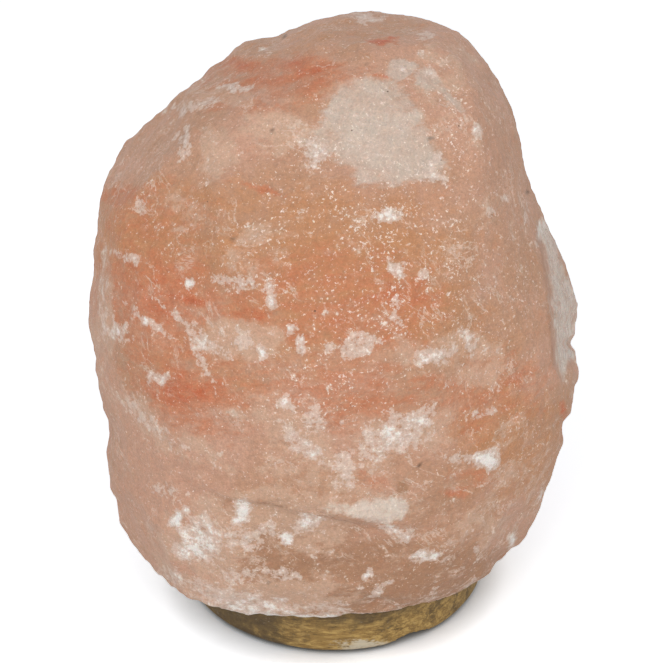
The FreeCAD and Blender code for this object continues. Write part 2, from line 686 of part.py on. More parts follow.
def glass_outline(wall):
    """(radius, height) points up the bulb's glass, from its neck to its crown, set in by a wall."""
    neck = BULB_NECK_DIAMETER / 2 - wall
    body = BULB_DIAMETER / 2 - wall
    crown = bulb_tip + BULB_LENGTH
    waist_radius = BULB_DIAMETER / 2 * BULB_WAIST_SHARE - wall
    belly = crown - BULB_DIAMETER / 2
    diagonal = body * math.sqrt(0.5)
    return [
        (neck, bulb_tip + BULB_NECK_HEIGHT),
        (neck, bulb_tip + BULB_SHOULDER_HEIGHT),
        (body, belly, (waist_radius, bulb_tip + BULB_WAIST_HEIGHT)),
        (0.0, belly + body, (diagonal, belly + diagonal)),
    ]


def bulb_glass():
    """The bulb's hollow pear of glass, open at the foot of its neck."""
    outside = glass_outline(0.0)
    inside = glass_outline(BULB_GLASS_WALL)
    low = outside[0][1]
    solid = turned([(0.0, low)] + outside)
    hollow = turned([(0.0, low - OVERCUT), (inside[0][0], low - OVERCUT)] + inside[1:])
    return solid.cut(hollow)


def bulb_cement():
    """The ring of cement that fixes the glass neck in the cap's skirt."""
    outer = CAP_SKIRT_DIAMETER - 2 * (CAP_METAL + FIT_GAP)
    inner = BULB_NECK_DIAMETER + 2 * FIT_GAP
    low = skirt_level() + CAP_FLARE_HEIGHT + FIT_GAP
    return ring(outer, inner, low, low + CEMENT_HEIGHT)


def bulb_stem():
    """The glass mount in the neck: a flare that closes it and a pillar that the wires run through."""
    low = bulb_tip + BULB_NECK_HEIGHT
    top = bulb_tip + STEM_TOP_HEIGHT
    flare = BULB_NECK_DIAMETER / 2 - BULB_GLASS_WALL - FIT_GAP
    stem = turned([
        (0.0, low),
        (flare, low),
        (flare, low + STEM_FLARE_HEIGHT),
        (STEM_DIAMETER / 2, low + STEM_FLARE_HEIGHT + STEM_NECK_HEIGHT),
        (STEM_DIAMETER / 2, top),
        (0.0, top),
    ])
    for side in (-1, 1):
        stem = stem.cut(lead_hole(low, top, side * LEAD_SPACING / 2))
    return stem


def wire(points, diameter):
    """A round wire along straight runs, with a ball at each bend."""
    pieces = []
    for start, end in zip(points, points[1:]):
        pieces.append(Part.makeCylinder(diameter / 2, (end - start).Length, start, end - start))
    joined = pieces[0]
    for piece, bend in zip(pieces[1:], points[1:-1]):
        joined = joined.fuse(Part.makeSphere(diameter / 2, bend)).fuse(piece)
    return joined


def lead_wires():
    """The live wire, up from the button, and the neutral one, from the cap's wall, to the filament."""
    button_top = bulb_tip + TIP_HEIGHT
    below_stem = bulb_tip + BULB_NECK_HEIGHT - LEAD_TAIL
    above_stem = bulb_tip + STEM_TOP_HEIGHT + 2 * LEAD_DIAMETER
    end = bulb_tip + FILAMENT_HEIGHT - (FILAMENT_DIAMETER + LEAD_DIAMETER) / 2
    near, far = LEAD_SPACING / 2, FILAMENT_SPAN / 2
    tails = (
        [Vector(0, 0, button_top), Vector(0, 0, thread_level() + LEAD_TAIL), Vector(-near, 0, below_stem)],
        [Vector(cap_bore_radius(), 0, below_stem), Vector(near, 0, below_stem)],
    )
    leads = []
    for side, tail in zip((-1, 1), tails):
        inside = [Vector(side * near, 0, above_stem), Vector(side * far, 0, end)]
        leads.append(wire(tail + inside, LEAD_DIAMETER))
    return group(leads)


def filament():
    """The coiled filament, as the slim bowed tube that its coil fills."""
    height = bulb_tip + FILAMENT_HEIGHT
    half = FILAMENT_SPAN / 2
    left, right = Vector(-half, 0, height), Vector(half, 0, height)
    bow = Part.Arc(left, Vector(0, FILAMENT_BOW, height), right)
    start_direction = bow.tangent(bow.FirstParameter)[0]
    profile = Part.Wire(Part.Circle(left, start_direction, FILAMENT_DIAMETER / 2).toShape())
    return Part.Wire(bow.toShape()).makePipeShell([profile], True, True)


def filament_support():
    """The fine wire that rises from the stem and holds the filament's middle."""
    stem_top = bulb_tip + STEM_TOP_HEIGHT + FIT_GAP
    end = bulb_tip + FILAMENT_HEIGHT - (FILAMENT_DIAMETER + SUPPORT_DIAMETER) / 2
    return wire([Vector(0, 0, stem_top), Vector(0, FILAMENT_BOW, end)], SUPPORT_DIAMETER)


PIECES = (
    salt_crystal,
    wood_base,
    foot_pads,
    base_screws,
    wall_plugs,
    cord_nipple,
    lock_nut,
    clip_spring,
    holder_cap,
    holder_shell,
    holder_core,
    screw_sleeve,
    contact_plunger,
    contact_spring,
    live_terminal,
    neutral_terminal,
    terminal_screws,
    bulb_contact,
    bulb_insulator,
    bulb_cap,
    bulb_glass,
    bulb_cement,
    bulb_stem,
    lead_wires,
    filament,
    filament_support,
)


def main():
    """Builds every piece and writes it under its own name."""
    os.makedirs("parts", exist_ok=True)
    for make in PIECES:
        shape = make()
        shape.exportStep("parts/" + make.__name__ + ".step")
        box = shape.BoundBox
        sizes = f"{box.XLength:7.2f} x {box.YLength:7.2f} x {box.ZLength:7.2f}"
        state = f"solids {len(shape.Solids)} valid {shape.isValid()} volume {shape.Volume:11.1f}"
        print(f"{make.__name__:18s} {state}  size {sizes}  from z {box.ZMin:7.2f}")


main()
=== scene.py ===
"""Salt crystal lamp: the looks of every piece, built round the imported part.

The lamp is a split block of pink rock salt on a round wooden base, with a sprung holder and a small bulb
in its hollow. Everything is in metres, +Z up, with the table at z = 0 and the front facing -Y.
"""

from __future__ import annotations

import json
import logging
import math
from dataclasses import dataclass, field
from enum import Enum
from typing import Any, Iterable, Sequence

import bpy
import numpy as np
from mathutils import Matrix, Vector, noise

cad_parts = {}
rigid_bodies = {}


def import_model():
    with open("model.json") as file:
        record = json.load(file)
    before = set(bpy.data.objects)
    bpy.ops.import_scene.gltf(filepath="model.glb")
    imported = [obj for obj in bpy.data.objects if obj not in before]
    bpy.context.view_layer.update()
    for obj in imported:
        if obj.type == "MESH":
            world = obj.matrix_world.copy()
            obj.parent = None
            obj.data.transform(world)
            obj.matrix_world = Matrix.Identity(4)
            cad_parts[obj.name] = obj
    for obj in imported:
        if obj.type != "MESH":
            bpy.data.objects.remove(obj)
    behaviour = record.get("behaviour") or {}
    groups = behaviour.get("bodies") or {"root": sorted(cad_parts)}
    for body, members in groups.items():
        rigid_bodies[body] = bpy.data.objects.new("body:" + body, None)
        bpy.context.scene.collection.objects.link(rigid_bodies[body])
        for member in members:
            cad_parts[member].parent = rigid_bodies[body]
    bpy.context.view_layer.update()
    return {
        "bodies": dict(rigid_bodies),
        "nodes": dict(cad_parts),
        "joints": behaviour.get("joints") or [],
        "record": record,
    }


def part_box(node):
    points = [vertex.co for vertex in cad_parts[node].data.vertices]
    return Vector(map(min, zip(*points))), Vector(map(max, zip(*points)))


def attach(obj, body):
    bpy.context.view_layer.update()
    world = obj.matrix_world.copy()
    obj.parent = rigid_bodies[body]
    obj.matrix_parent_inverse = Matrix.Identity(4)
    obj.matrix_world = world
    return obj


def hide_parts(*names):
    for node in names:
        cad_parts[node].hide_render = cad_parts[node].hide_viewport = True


MM = 0.001
RUFFLE_SEED = 3
PATCH_SPREAD = 1.5  # a patch fades out at half as far again as its reach
LOG = logging.getLogger("salt_lamp")

Pixel = tuple[float, float]
Triple = tuple[float, float, float]
Socket = bpy.types.NodeSocket
Colour = tuple[float, float, float, float]


# ---------------------------------------------------------------- colour and nodes
def linear(hex_colour: str) -> Colour:
    """Turns an sRGB hex colour into the linear values that shaders use.

    Args:
        hex_colour: six hex digits after a hash, such as "#C99B83".

    Returns:
        Linear red, green and blue, and an alpha of 1.
    """
    channels = [int(hex_colour[start : start + 2], 16) / 255 for start in (1, 3, 5)]
    red, green, blue = [c / 12.92 if c <= 0.04045 else ((c + 0.055) / 1.055) ** 2.4 for c in channels]
    return red, green, blue, 1.0


def feed(tree: bpy.types.NodeTree, socket: Socket, value: Any) -> None:
    """Links another node's output to an input, or sets the input to a value."""
    if isinstance(value, Socket):
        tree.links.new(value, socket)
    else:
        socket.default_value = value


def add_node(
    tree: bpy.types.NodeTree, kind: str, inputs: dict[Any, Any] | None = None, **settings: Any
) -> Any:
    """Adds a shader node with its settings, values and links.

    Args:
        tree: the material's or world's node tree.
        kind: the node's type name.
        inputs: a value or an output socket for each input, by its name or place.
        **settings: the node's own properties.

    Returns:
        The new node.
    """
    node = tree.nodes.new(kind)
    for name, value in settings.items():
        setattr(node, name, value)
    for place, value in (inputs or {}).items():
        feed(tree, node.inputs[place], value)
    return node


@dataclass(frozen=True)
class Cloud:
    """A cloudy pattern through a piece, in real sizes."""

    size_mm: float  # the size of its largest features
    detail: float  # how many finer copies it adds
    rough: float  # how strong the finer copies are
    twist: float = 0.0  # how far the pattern is stirred
    turn: Triple | None = None  # degrees about each axis
    squeeze: Triple | None = None  # how much finer it is along each axis, once turned


class Recipe:
    """One finish in the making: a material, its shader, and the layers that are laid on it."""

    def __init__(self, name: str) -> None:
        """Makes a material that holds a Principled shader and its output."""
        self.material = bpy.data.materials.new(name)
        self.material.use_nodes = True
        self.tree = self.material.node_tree
        self.tree.nodes.clear()
        self.shader = add_node(self.tree, "ShaderNodeBsdfPrincipled")
        add_node(self.tree, "ShaderNodeOutputMaterial", {"Surface": self.shader.outputs[0]})
        self.place = self.add("ShaderNodeTexCoord", output="Object")
        self.levels: dict[Cloud, Socket] = {}

    def add(
        self, kind: str, inputs: dict[Any, Any] | None = None, output: int | str = 0, **settings: Any
    ) -> Socket:
        """Adds a node to this finish, and gives the output that is asked for."""
        return add_node(self.tree, kind, inputs, **settings).outputs[output]

    def set(self, **values: Any) -> None:
        """Sets or links the shader's inputs, each named with underscores for spaces."""
        for name, value in values.items():
            feed(self.tree, self.shader.inputs[name.replace("_", " ")], value)

    def level(self, pattern: Cloud | Socket) -> Socket:
        """A pattern's level, mostly between 0.3 and 0.7. Each is made once, and a value stays itself."""
        if not isinstance(pattern, Cloud):
            return pattern
        if pattern not in self.levels:
            vector = self.place
            if pattern.turn:
                angles = [math.radians(angle) for angle in pattern.turn]
                vector = self.add("ShaderNodeMapping", {"Vector": vector, "Rotation": angles})
            if pattern.squeeze:
                vector = self.add("ShaderNodeMapping", {"Vector": vector, "Scale": pattern.squeeze})
            inputs = {"Vector": vector, "Scale": 1 / (pattern.size_mm * MM), "Detail": pattern.detail}
            inputs |= {"Roughness": pattern.rough, "Distortion": pattern.twist}
            self.levels[pattern] = self.add("ShaderNodeTexNoise", inputs)
        return self.levels[pattern]

    def weighed(self, base: float, *terms: tuple[Cloud | Socket, float | Socket]) -> Socket:
        """A base level with weighed patterns or values added to it."""
        result: Any = base
        for term, weight in terms:
            inputs = {0: self.level(term), 1: weight, 2: result}
            result = self.add("ShaderNodeMath", inputs, operation="MULTIPLY_ADD")
        return result

    def ragged(self, layer: str, *swings: tuple[Cloud, float]) -> Socket:
        """A layer painted on the mesh, torn by patterns that each swing evenly by a reach."""
        painted = self.add("ShaderNodeAttribute", output="Fac", attribute_name=layer)
        lowest = -sum(reach for _, reach in swings)
        return self.weighed(lowest, (painted, 1.0), *((cloud, 2 * reach) for cloud, reach in swings))

    def coat(
        self, below: Any, tone: str, where: Any, low: float, high: float, share: Any = 1.0, soft: bool = True
    ) -> Socket:
        """Lays a tone over a colour where a level is high enough.

        Args:
            below: the colour under it.
            tone: the tone's hex colour.
            where: the level, or the pattern that gives it.
            low: the level at which the tone begins.
            high: the level at which it takes its full share.
            share: how much of the colour below it then hides.
            soft: whether it eases in, or rises evenly.

        Returns:
            The new colour.
        """
        inputs = {"Value": self.level(where), "From Min": low, "From Max": high, "To Max": share}
        ease = "SMOOTHSTEP" if soft else "LINEAR"
        cover = self.add("ShaderNodeMapRange", inputs, interpolation_type=ease)
        return self.add("ShaderNodeMix", {"Factor": cover, 6: below, 7: linear(tone)}, 2, data_type="RGBA")


# ---------------------------------------------------------------- mesh helpers
def select_nothing() -> None:
    """Leaves edit mode and deselects everything."""
    if bpy.context.object and bpy.context.object.mode != "OBJECT":
        bpy.ops.object.mode_set(mode="OBJECT")
    bpy.ops.object.select_all(action="DESELECT")


def select_only(piece: bpy.types.Object) -> None:
    """Selects one object alone and makes it active."""
    select_nothing()
    piece.select_set(True)
    bpy.context.view_layer.objects.active = piece


def apply_modifier(piece: bpy.types.Object, kind: str, **settings: Any) -> None:
    """Adds a modifier with its settings and applies it.

    Args:
        piece: the object to change.
        kind: the modifier's type name.
        **settings: the modifier's own properties.
    """
    modifier = piece.modifiers.new(kind.lower(), kind)
    for name, value in settings.items():
        setattr(modifier, name, value)
    select_only(piece)
    bpy.ops.object.modifier_apply(modifier=modifier.name)


def points_and_normals(piece: bpy.types.Object) -> list[np.ndarray]:
    """The places of a mesh's points and the outward directions there, each as rows of three."""
    tables = [np.empty(len(piece.data.vertices) * 3) for _ in range(2)]
    for quantity, table in zip(("co", "normal"), tables):
        piece.data.vertices.foreach_get(quantity, table)
    return [table.reshape(-1, 3) for table in tables]


def move_points(piece: bpy.types.Object, places: np.ndarray) -> None:
    """Moves a mesh's points to new places."""
    piece.data.vertices.foreach_set("co", places.ravel())
    piece.data.update()


def paint_layers(piece: bpy.types.Object, layers: dict[str, np.ndarray]) -> None:
    """Stores each layer's strengths, one for each point, as an attribute that a finish reads."""
    for name, weights in layers.items():
        attribute = piece.data.attributes.new(name, "FLOAT", "POINT")
        attribute.data.foreach_set("value", weights)


def ramp(values: np.ndarray, start: float, run: float) -> np.ndarray:
    """Rises from 0 at a start to 1 at a run past it. A negative run lies on the lower side."""
    return np.clip((values - start) / run, 0, 1)


def copy_node(frame: dict[str, Any], node: str, name: str) -> bpy.types.Object:
    """Copies a CAD node's mesh into a new object with its loose triangles joined.

    Args:
        node: the CAD node's name.
        name: the new object's name.

    Returns:
        The new object, at the origin.
    """
    piece = bpy.data.objects.new(name, frame["nodes"][node].data.copy())
    bpy.context.scene.collection.objects.link(piece)
    piece.data.materials.clear()
    select_only(piece)
    bpy.ops.object.mode_set(mode="EDIT")
    bpy.ops.mesh.select_all(action="SELECT")
    bpy.ops.mesh.remove_doubles(threshold=0.005 * MM)
    bpy.ops.mesh.customdata_custom_splitnormals_clear()
    bpy.ops.object.mode_set(mode="OBJECT")
    return piece


def dress(piece: bpy.types.Object, material: bpy.types.Material) -> None:
    """Gives a whole piece one material."""
    piece.data.materials.clear()
    piece.data.materials.append(material)


def fit(piece: bpy.types.Object, body: str, node: str) -> None:
    """Fits a finished piece in the place of a CAD node, and reports it.

    Args:
        piece: the finished piece.
        body: the moving body that it rides on.
        node: the CAD node that it stands for.
    """
    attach(piece, body)
    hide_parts(node)
    triangles = sum(len(polygon.vertices) - 2 for polygon in piece.data.polygons)
    LOG.info("%s stands for %s: %d triangles", piece.name, node, triangles)


# ---------------------------------------------------------------- view
@dataclass
class PhotoView:
    """The photograph's camera: where it stands, and where a point falls in its frame."""

    frame_pixels: float = 663.0
    lens_mm: float = 85.0
    sensor_mm: float = 36.0
    down_degrees: float = 27.1
    distance: float = 605.0 * MM
    target: tuple[float, float, float] = (-1.0 * MM, 0.0, 107.9 * MM)

    @property
    def forward(self) -> np.ndarray:
        """The direction that the camera looks in."""
        down = math.radians(self.down_degrees)
        return np.array([0.0, math.cos(down), -math.sin(down)])

    @property
    def place(self) -> np.ndarray:
        """The camera's place."""
        return np.array(self.target) - self.forward * self.distance

    def pixels(self, places: np.ndarray) -> np.ndarray:
        """Finds where points fall in the photograph.

        Args:
            places: rows of x, y and z.

        Returns:
            Rows of pixels to the right and down from the frame's top left corner.
        """
        down = math.radians(self.down_degrees)
        upward = np.array([0.0, math.sin(down), math.cos(down)])
        offset = places - self.place
        depth = offset @ self.forward
        zoom = self.frame_pixels / self.sensor_mm * self.lens_mm
        middle = self.frame_pixels / 2
        columns = middle + zoom * offset[:, 0] / depth
        rows = middle - zoom * (offset @ upward) / depth
        return np.stack([columns, rows], axis=1)

    def front(
        self, places: np.ndarray, directions: np.ndarray, sharp: float = 6.0, shift: float = 0.0
    ) -> np.ndarray:
        """Finds which part of a surface is in front.

        Args:
            places: rows of x, y and z.
            directions: the outward direction at each.
            sharp: how fast the answer falls as the surface turns away.
            shift: how far past its edge the surface still counts.

        Returns:
            One where the surface faces the camera, fading to none where it turns away.
        """
        offset = self.place - places
        facing = (offset / np.linalg.norm(offset, axis=1, keepdims=True) * directions).sum(axis=1)
        return np.clip((facing + shift) * sharp, 0, 1)

    def build(self) -> None:
        """Adds the camera and makes it the scene's own."""
        data = bpy.data.cameras.new("photo_camera")
        data.lens = self.lens_mm
        data.sensor_width = self.sensor_mm
        camera = bpy.data.objects.new("photo_camera", data)
        camera.location = Vector(self.place)
        camera.rotation_euler = Vector(self.forward).to_track_quat("-Z", "Y").to_euler()
        bpy.context.scene.collection.objects.link(camera)
        bpy.context.scene.camera = camera


# ---------------------------------------------------------------- patches on the salt
class Tint(Enum):
    """What a patch on the salt is made of. Each is an attribute that the salt's finish reads."""

    RUST = "rust"  # iron-red bands
    AMBER = "amber"  # clearer, more orange salt
    PINK = "pink"  # cloudy paler pink
    BROWN = "brown"  # dull tan skin, and painted shade under the ledge and low on the front
    VEIL = "veil"  # thin milky haze
    CRUST = "crust"  # white bruised or powdery salt
    CREAM = "cream"  # dense cream-coloured seam
    SEAM = "seam"  # thin dark crack
    FACET = "facet"  # pale grey chipped faces
    GLINT = "glint"  # painted glints where tiny crystal faces catch the light
    CLEAR = "clear"  # glassy split face
    SPECK = "speck"  # grains of dark clay


@dataclass(frozen=True)
class Patch:
    """An oval patch, placed in the photograph's frame."""

    right: float  # its middle's pixels to the right, and down
    down: float
    long: float  # how many pixels it reaches along its own axis, and across it
    wide: float
    strength: float = 1.0
    turn: float = 0.0  # degrees, anticlockwise

    def weights(self, pixels: np.ndarray) -> np.ndarray:
        """The patch's strength at each point, full in its middle and none past its edge."""
        turn = math.radians(self.turn)
        right, down = pixels[:, 0] - self.right, pixels[:, 1] - self.down
        along = (right * math.cos(turn) - down * math.sin(turn)) / self.long
        across = (right * math.sin(turn) + down * math.cos(turn)) / self.wide
        return self.strength * np.clip(1 - (along**2 + across**2) / PATCH_SPREAD**2, 0, 1)


@dataclass(frozen=True)
class Shard:
    """A patch with a broken outline, placed in the photograph's frame."""

    outline: tuple[Pixel, ...]
    edge: float = 3.0  # pixels over which it fades
    strength: float = 1.0

    def weights(self, pixels: np.ndarray) -> np.ndarray:
        """The shard's strength at each point: full inside and fading over its edge."""
        return self.strength * np.clip(0.5 + inside_depth(pixels, self.outline) / self.edge, 0, 1)


def line_distance(pixels: np.ndarray, start: Pixel, end: Pixel) -> np.ndarray:
    """The distance from each point to a stretch of line."""
    run = np.array(end) - np.array(start)
    share = np.clip(((pixels - start) @ run) / (run @ run), 0, 1)
    return np.linalg.norm(pixels - start - share[:, None] * run, axis=1)


def inside_depth(pixels: np.ndarray, outline: Sequence[Pixel]) -> np.ndarray:
    """How far each point is inside an outline, or outside it as a negative distance."""
    inside = np.zeros(len(pixels), bool)
    nearest = np.full(len(pixels), np.inf)
    for start, end in zip(outline, tuple(outline[1:]) + (outline[0],)):
        nearest = np.minimum(nearest, line_distance(pixels, start, end))
        crosses = (pixels[:, 1] > start[1]) != (pixels[:, 1] > end[1])
        rise = end[1] - start[1] if end[1] != start[1] else 1e-9
        meets = start[0] + (pixels[:, 1] - start[1]) * (end[0] - start[0]) / rise
        inside ^= crosses & (pixels[:, 0] < meets)
    return np.where(inside, nearest, -nearest)


def ruffle(places: np.ndarray, size_mm: float, seed: float) -> np.ndarray:
    """A smooth random swing in three directions for each point, up to about 1 each way."""
    noise.seed_set(RUFFLE_SEED)  # without this, the pattern differs from run to run
    shift = Vector((seed, -seed, 2 * seed))
    scale = 1 / (size_mm * MM)
    return np.array([noise.noise_vector(Vector(place) * scale + shift) for place in places])


# Where the photograph shows each kind of patch, in its pixels.
FRONT_PATCHES: dict[Tint, tuple[Patch, ...]] = {
    Tint.RUST: (
        Patch(158, 290, 66, 44, 1, -18), Patch(133, 284, 17, 18, 1.05, -20),
        Patch(190, 390, 52, 18, 1.3, -8), Patch(184, 298, 26, 8, 1.4, -10), Patch(242, 66, 26, 8, 1.2, -8),
        Patch(302, 66, 30, 8, 1.3), Patch(280, 80, 76, 18, 0.8), Patch(268, 82, 34, 6, 1.1, -4),
        Patch(251, 311, 24, 6, 1, -4), Patch(266, 190, 24, 2.5, 1.3, -16), Patch(126, 196, 34, 10, 0.9),
        Patch(240, 105, 50, 10, 0.8, -4), Patch(382, 41, 13, 3, 2), Patch(384, 77, 8, 2.5, 2.2, 8),
        Patch(170, 340, 76, 44, 0.7, -40), Patch(150, 225, 60, 34, 0.6), Patch(310, 290, 110, 44, 0.7),
        Patch(402, 350, 20, 6, 1.1, -20), Patch(378, 452, 10, 8, 0.9), Patch(400, 338, 36, 18, 0.8, -10),
        Patch(350, 322, 70, 26, 0.85), Patch(282, 330, 40, 12, 0.8, -10), Patch(250, 322, 34, 7, 0.8),
        Patch(516, 377, 9, 8, 0.9, -40), Patch(500, 375, 44, 24, 0.6), Patch(563, 412, 4, 9, 1.2),
        Patch(456, 491, 7, 5, 1.2), Patch(471, 477, 22, 9, 0.7), Patch(366, 474, 18, 16, 0.7),
        Patch(345, 395, 90, 34, 0.7), Patch(450, 385, 30, 9, 0.7, -25), Patch(255, 395, 50, 14, 0.6, -15),
        Patch(404, 300, 36, 28, 1.05), Patch(480, 405, 60, 26, 0.6), Patch(190, 415, 50, 18, 0.75, -20),
    ),
    Tint.AMBER: (
        Patch(150, 245, 60, 40, 0.9), Patch(225, 255, 80, 45, 0.7), Patch(350, 250, 110, 50, 0.9),
        Patch(330, 300, 100, 60, 0.8), Patch(440, 330, 60, 35, 0.6), Patch(280, 205, 120, 30, 0.6),
        Patch(205, 350, 80, 50, 0.5), Patch(500, 400, 45, 45, 0.5), Patch(180, 200, 60, 20, 0.6),
        Patch(410, 310, 50, 40, 0.9), Patch(510, 440, 60, 60, 0.75), Patch(330, 36, 100, 22, 0.35),
    ),
    Tint.PINK: (
        Patch(160, 480, 60, 70, 0.9), Patch(240, 435, 80, 40, 0.8), Patch(160, 150, 50, 40, 0.5),
        Patch(102, 330, 16, 90, 0.8), Patch(190, 555, 70, 40), Patch(255, 345, 40, 26, 0.9),
        Patch(340, 352, 80, 18, 0.7), Patch(250, 140, 90, 26, 0.6), Patch(330, 440, 90, 30, 0.7),
        Patch(490, 150, 36, 90, 0.7, 15),
    ),
    # tan skin, and painted shade under the ledge and low on the front
    Tint.BROWN: (
        Patch(330, 560, 100, 30), Patch(440, 500, 50, 40, 0.4), Patch(490, 540, 50, 50, 0.35),
        Patch(500, 130, 30, 110, 0.35, 15), Patch(403, 487, 4, 8, 1.6), Patch(420, 582, 90, 26, 1.1, 12),
    ),
    Tint.VEIL: (
        Patch(243, 339, 32, 17, 1.5), Patch(272, 130, 30, 18, 1.1), Patch(222, 152, 18, 22, 0.9),
        Patch(204, 550, 50, 40, 0.9), Patch(104, 310, 10, 60, 0.8), Patch(150, 424, 60, 12, 0.7, -41),
        Patch(390, 440, 60, 26, 0.8, 25), Patch(345, 480, 26, 30, 0.8), Patch(290, 430, 50, 22, 0.7, -40),
        Patch(310, 500, 90, 12, 0.8, -4), Patch(180, 200, 20, 30, 0.4), Patch(180, 440, 50, 12, 0.5, -30),
        Patch(255, 598, 84, 18, 1.2), Patch(285, 522, 60, 26, 0.8), Patch(305, 470, 50, 20, 0.5),
        Patch(250, 250, 36, 26, 0.45), Patch(478, 366, 30, 18, 0.6), Patch(480, 520, 30, 20, 0.6),
        Patch(430, 350, 60, 14, 0.7, 8), Patch(215, 100, 40, 10, 0.7), Patch(440, 90, 30, 40, 0.6, -30),
        Patch(470, 225, 40, 30, 0.4), Patch(520, 470, 30, 50, 0.4),
    ),
    Tint.CRUST: (
        Patch(190, 283, 4.5, 4.5, 1.7), Patch(262, 351, 5, 8, 1.4), Patch(291, 333, 6, 5, 1.3),
        Patch(302, 346, 5, 9, 1.3, 25), Patch(246, 342, 22, 14, 0.5), Patch(355, 345, 24, 11, 1.1, 14),
        Patch(433, 354, 19, 9, 1.1, 10), Patch(470, 345, 8, 14, 0.7), Patch(183, 148, 6, 19, 1, -8),
        Patch(157, 379, 14, 6, 0.9, -8), Patch(289, 400, 10, 8, 0.8), Patch(314, 420, 12, 10, 0.85),
        Patch(340, 424, 4, 7, 0.9), Patch(150, 424, 44, 6, 0.7, -41), Patch(304, 446, 34, 9, 0.8, -40),
        Patch(396, 434, 38, 18, 1.05, 30), Patch(418, 422, 10, 9, 1.2, 30), Patch(344, 470, 14, 20, 0.8),
        Patch(483, 460, 13, 9, 1.6), Patch(456, 457, 14, 7, 0.8, 25), Patch(484, 414, 15, 5, 0.8, 18),
        Patch(396, 530, 18, 5, 1.1, -14), Patch(244, 509, 8, 12, 1.6), Patch(305, 522, 18, 7, 1.25, 12),
        Patch(289, 538, 8, 7, 1.7), Patch(198, 541, 22, 22, 1.15), Patch(175, 520, 5, 9, 1.3),
        Patch(187, 509, 4, 4, 1.3), Patch(250, 571, 34, 8, 0.6), Patch(368, 576, 6, 4, 1.4),
        Patch(377, 591, 17, 4, 0.7, 42), Patch(430, 555, 18, 7, 1.05, -4), Patch(478, 549, 3, 7, 0.9),
        Patch(510, 540, 5, 11, 1.3, -8), Patch(286, 573, 12, 6, 0.8), Patch(236, 600, 50, 12, 1, -16),
        Patch(262, 609, 56, 9, 1.15, -2), Patch(250, 536, 24, 14, 0.85), Patch(290, 610, 64, 7, 0.7, 3),
        Patch(440, 594, 46, 3, 0.6, 20), Patch(180, 580, 30, 8, 0.7, -25), Patch(103, 300, 5, 36, 0.7),
        Patch(126, 257, 20, 5, 0.85, -12), Patch(142, 207, 5, 8, 0.9), Patch(388, 215, 12, 7, 1.1),
        Patch(396, 268, 11, 7, 1, -40), Patch(424, 276, 7, 5, 0.8), Patch(271, 298, 6, 18, 1.1, -6),
        Patch(226, 284, 22, 8, 0.65, -10), Patch(252, 284, 6, 5, 1.1), Patch(118, 332, 14, 10, 0.7),
        Patch(150, 322, 26, 3, 0.9, -36), Patch(212, 342, 26, 3, 0.9, -44), Patch(370, 17, 16, 6, 0.7),
        Patch(426, 73, 9, 5, 0.8, -20), Patch(400, 63, 6, 4, 0.7), Patch(434, 160, 6, 12, 0.8, -24),
        Patch(476, 132, 5, 12, 0.7, -16), Patch(525, 212, 2.5, 14, 0.8), Patch(517, 216, 2.5, 9, 0.7),
        Patch(541, 232, 5, 13, 1.3, -14), Patch(573, 330, 4, 8, 0.9), Patch(569, 354, 5, 4, 1, 30),
        Patch(190, 330, 34, 4, 0.8, -42), Patch(176, 316, 24, 3, 0.8, -38),
        Patch(205, 366, 26, 4, 0.7, -62), Patch(467, 342, 5, 14, 0.8, 30), Patch(398, 312, 6, 20, 0.7, 10),
        Patch(425, 35, 9, 3), Patch(232, 87, 20, 5, 0.9, -8), Patch(263, 50, 5, 2.5, 0.9),
        Patch(195, 106, 28, 7, 0.65, 8), Patch(314, 149, 15, 12), Patch(394, 506, 11, 6, 0.9),
        Patch(564, 300, 4, 26, 0.7, -12), Patch(438, 178, 12, 7, 0.95, -20),
        Patch(505, 200, 8, 5, 0.8, -30), Patch(490, 213, 4, 6, 0.9), Patch(165, 490, 16, 6, 0.7, -30),
        Patch(545, 500, 6, 14, 0.7),
    ),
    Tint.FACET: (
        Patch(400, 67, 12, 9, 1.5), Patch(427, 78, 13, 11, 1.6, -20), Patch(452, 103, 26, 4, 1.2, -52),
    ),
    # painted glints: where bright specks catch the light
    Tint.GLINT: (
        Patch(390, 235, 95, 75), Patch(290, 235, 80, 60, 0.6), Patch(400, 300, 90, 50, 0.9),
        Patch(330, 385, 70, 40, 0.8), Patch(450, 130, 30, 60, 0.7), Patch(330, 155, 40, 20, 0.8),
        Patch(380, 130, 60, 40, 0.4), Patch(500, 300, 50, 80, 0.6), Patch(530, 450, 30, 60, 0.5),
    ),
    Tint.SPECK: (
        Patch(272, 131, 1.6, 1.6), Patch(232, 238, 1.6, 1.6), Patch(285, 36, 1.6, 1.6),
        Patch(365, 65, 1.6, 1.6), Patch(431, 138, 1.8, 1.8), Patch(527, 192, 2, 1.6),
        Patch(268, 583, 1.6, 1.6), Patch(420, 465, 2.2, 1.4, 1, 50),
    ),
}  # fmt: skip

CHIPPED_FACE: tuple[Pixel, ...] = (
    (340, 80), (327, 97), (318, 123), (303, 140), (308, 156), (328, 153), (334, 163), (347, 173),
    (358, 188), (375, 186), (400, 187), (423, 181), (447, 184), (445, 167), (436, 150), (427, 127),
    (417, 100), (400, 83), (390, 77), (367, 77),
)  # fmt: skip
CREAM_LENS: tuple[Pixel, ...] = (
    (318, 507), (332, 503), (350, 503), (372, 498), (407, 497), (408, 510), (405, 519), (390, 525),
    (373, 525), (353, 518), (333, 513),
)  # fmt: skip
GLASSY_SPLIT: tuple[Pixel, ...] = (
    (537, 222), (547, 224), (557, 240), (566, 270), (578, 300), (584, 330), (580, 352), (568, 364),
    (563, 380), (556, 366), (553, 330), (550, 290), (546, 258), (541, 238),
)  # fmt: skip
SPLIT_LINE: tuple[Pixel, ...] = (
    (536, 226), (541, 240), (546, 262), (550, 292), (552, 330), (556, 364), (553, 368), (549, 332),
    (547, 294), (543, 264), (537, 242),
)  # fmt: skip
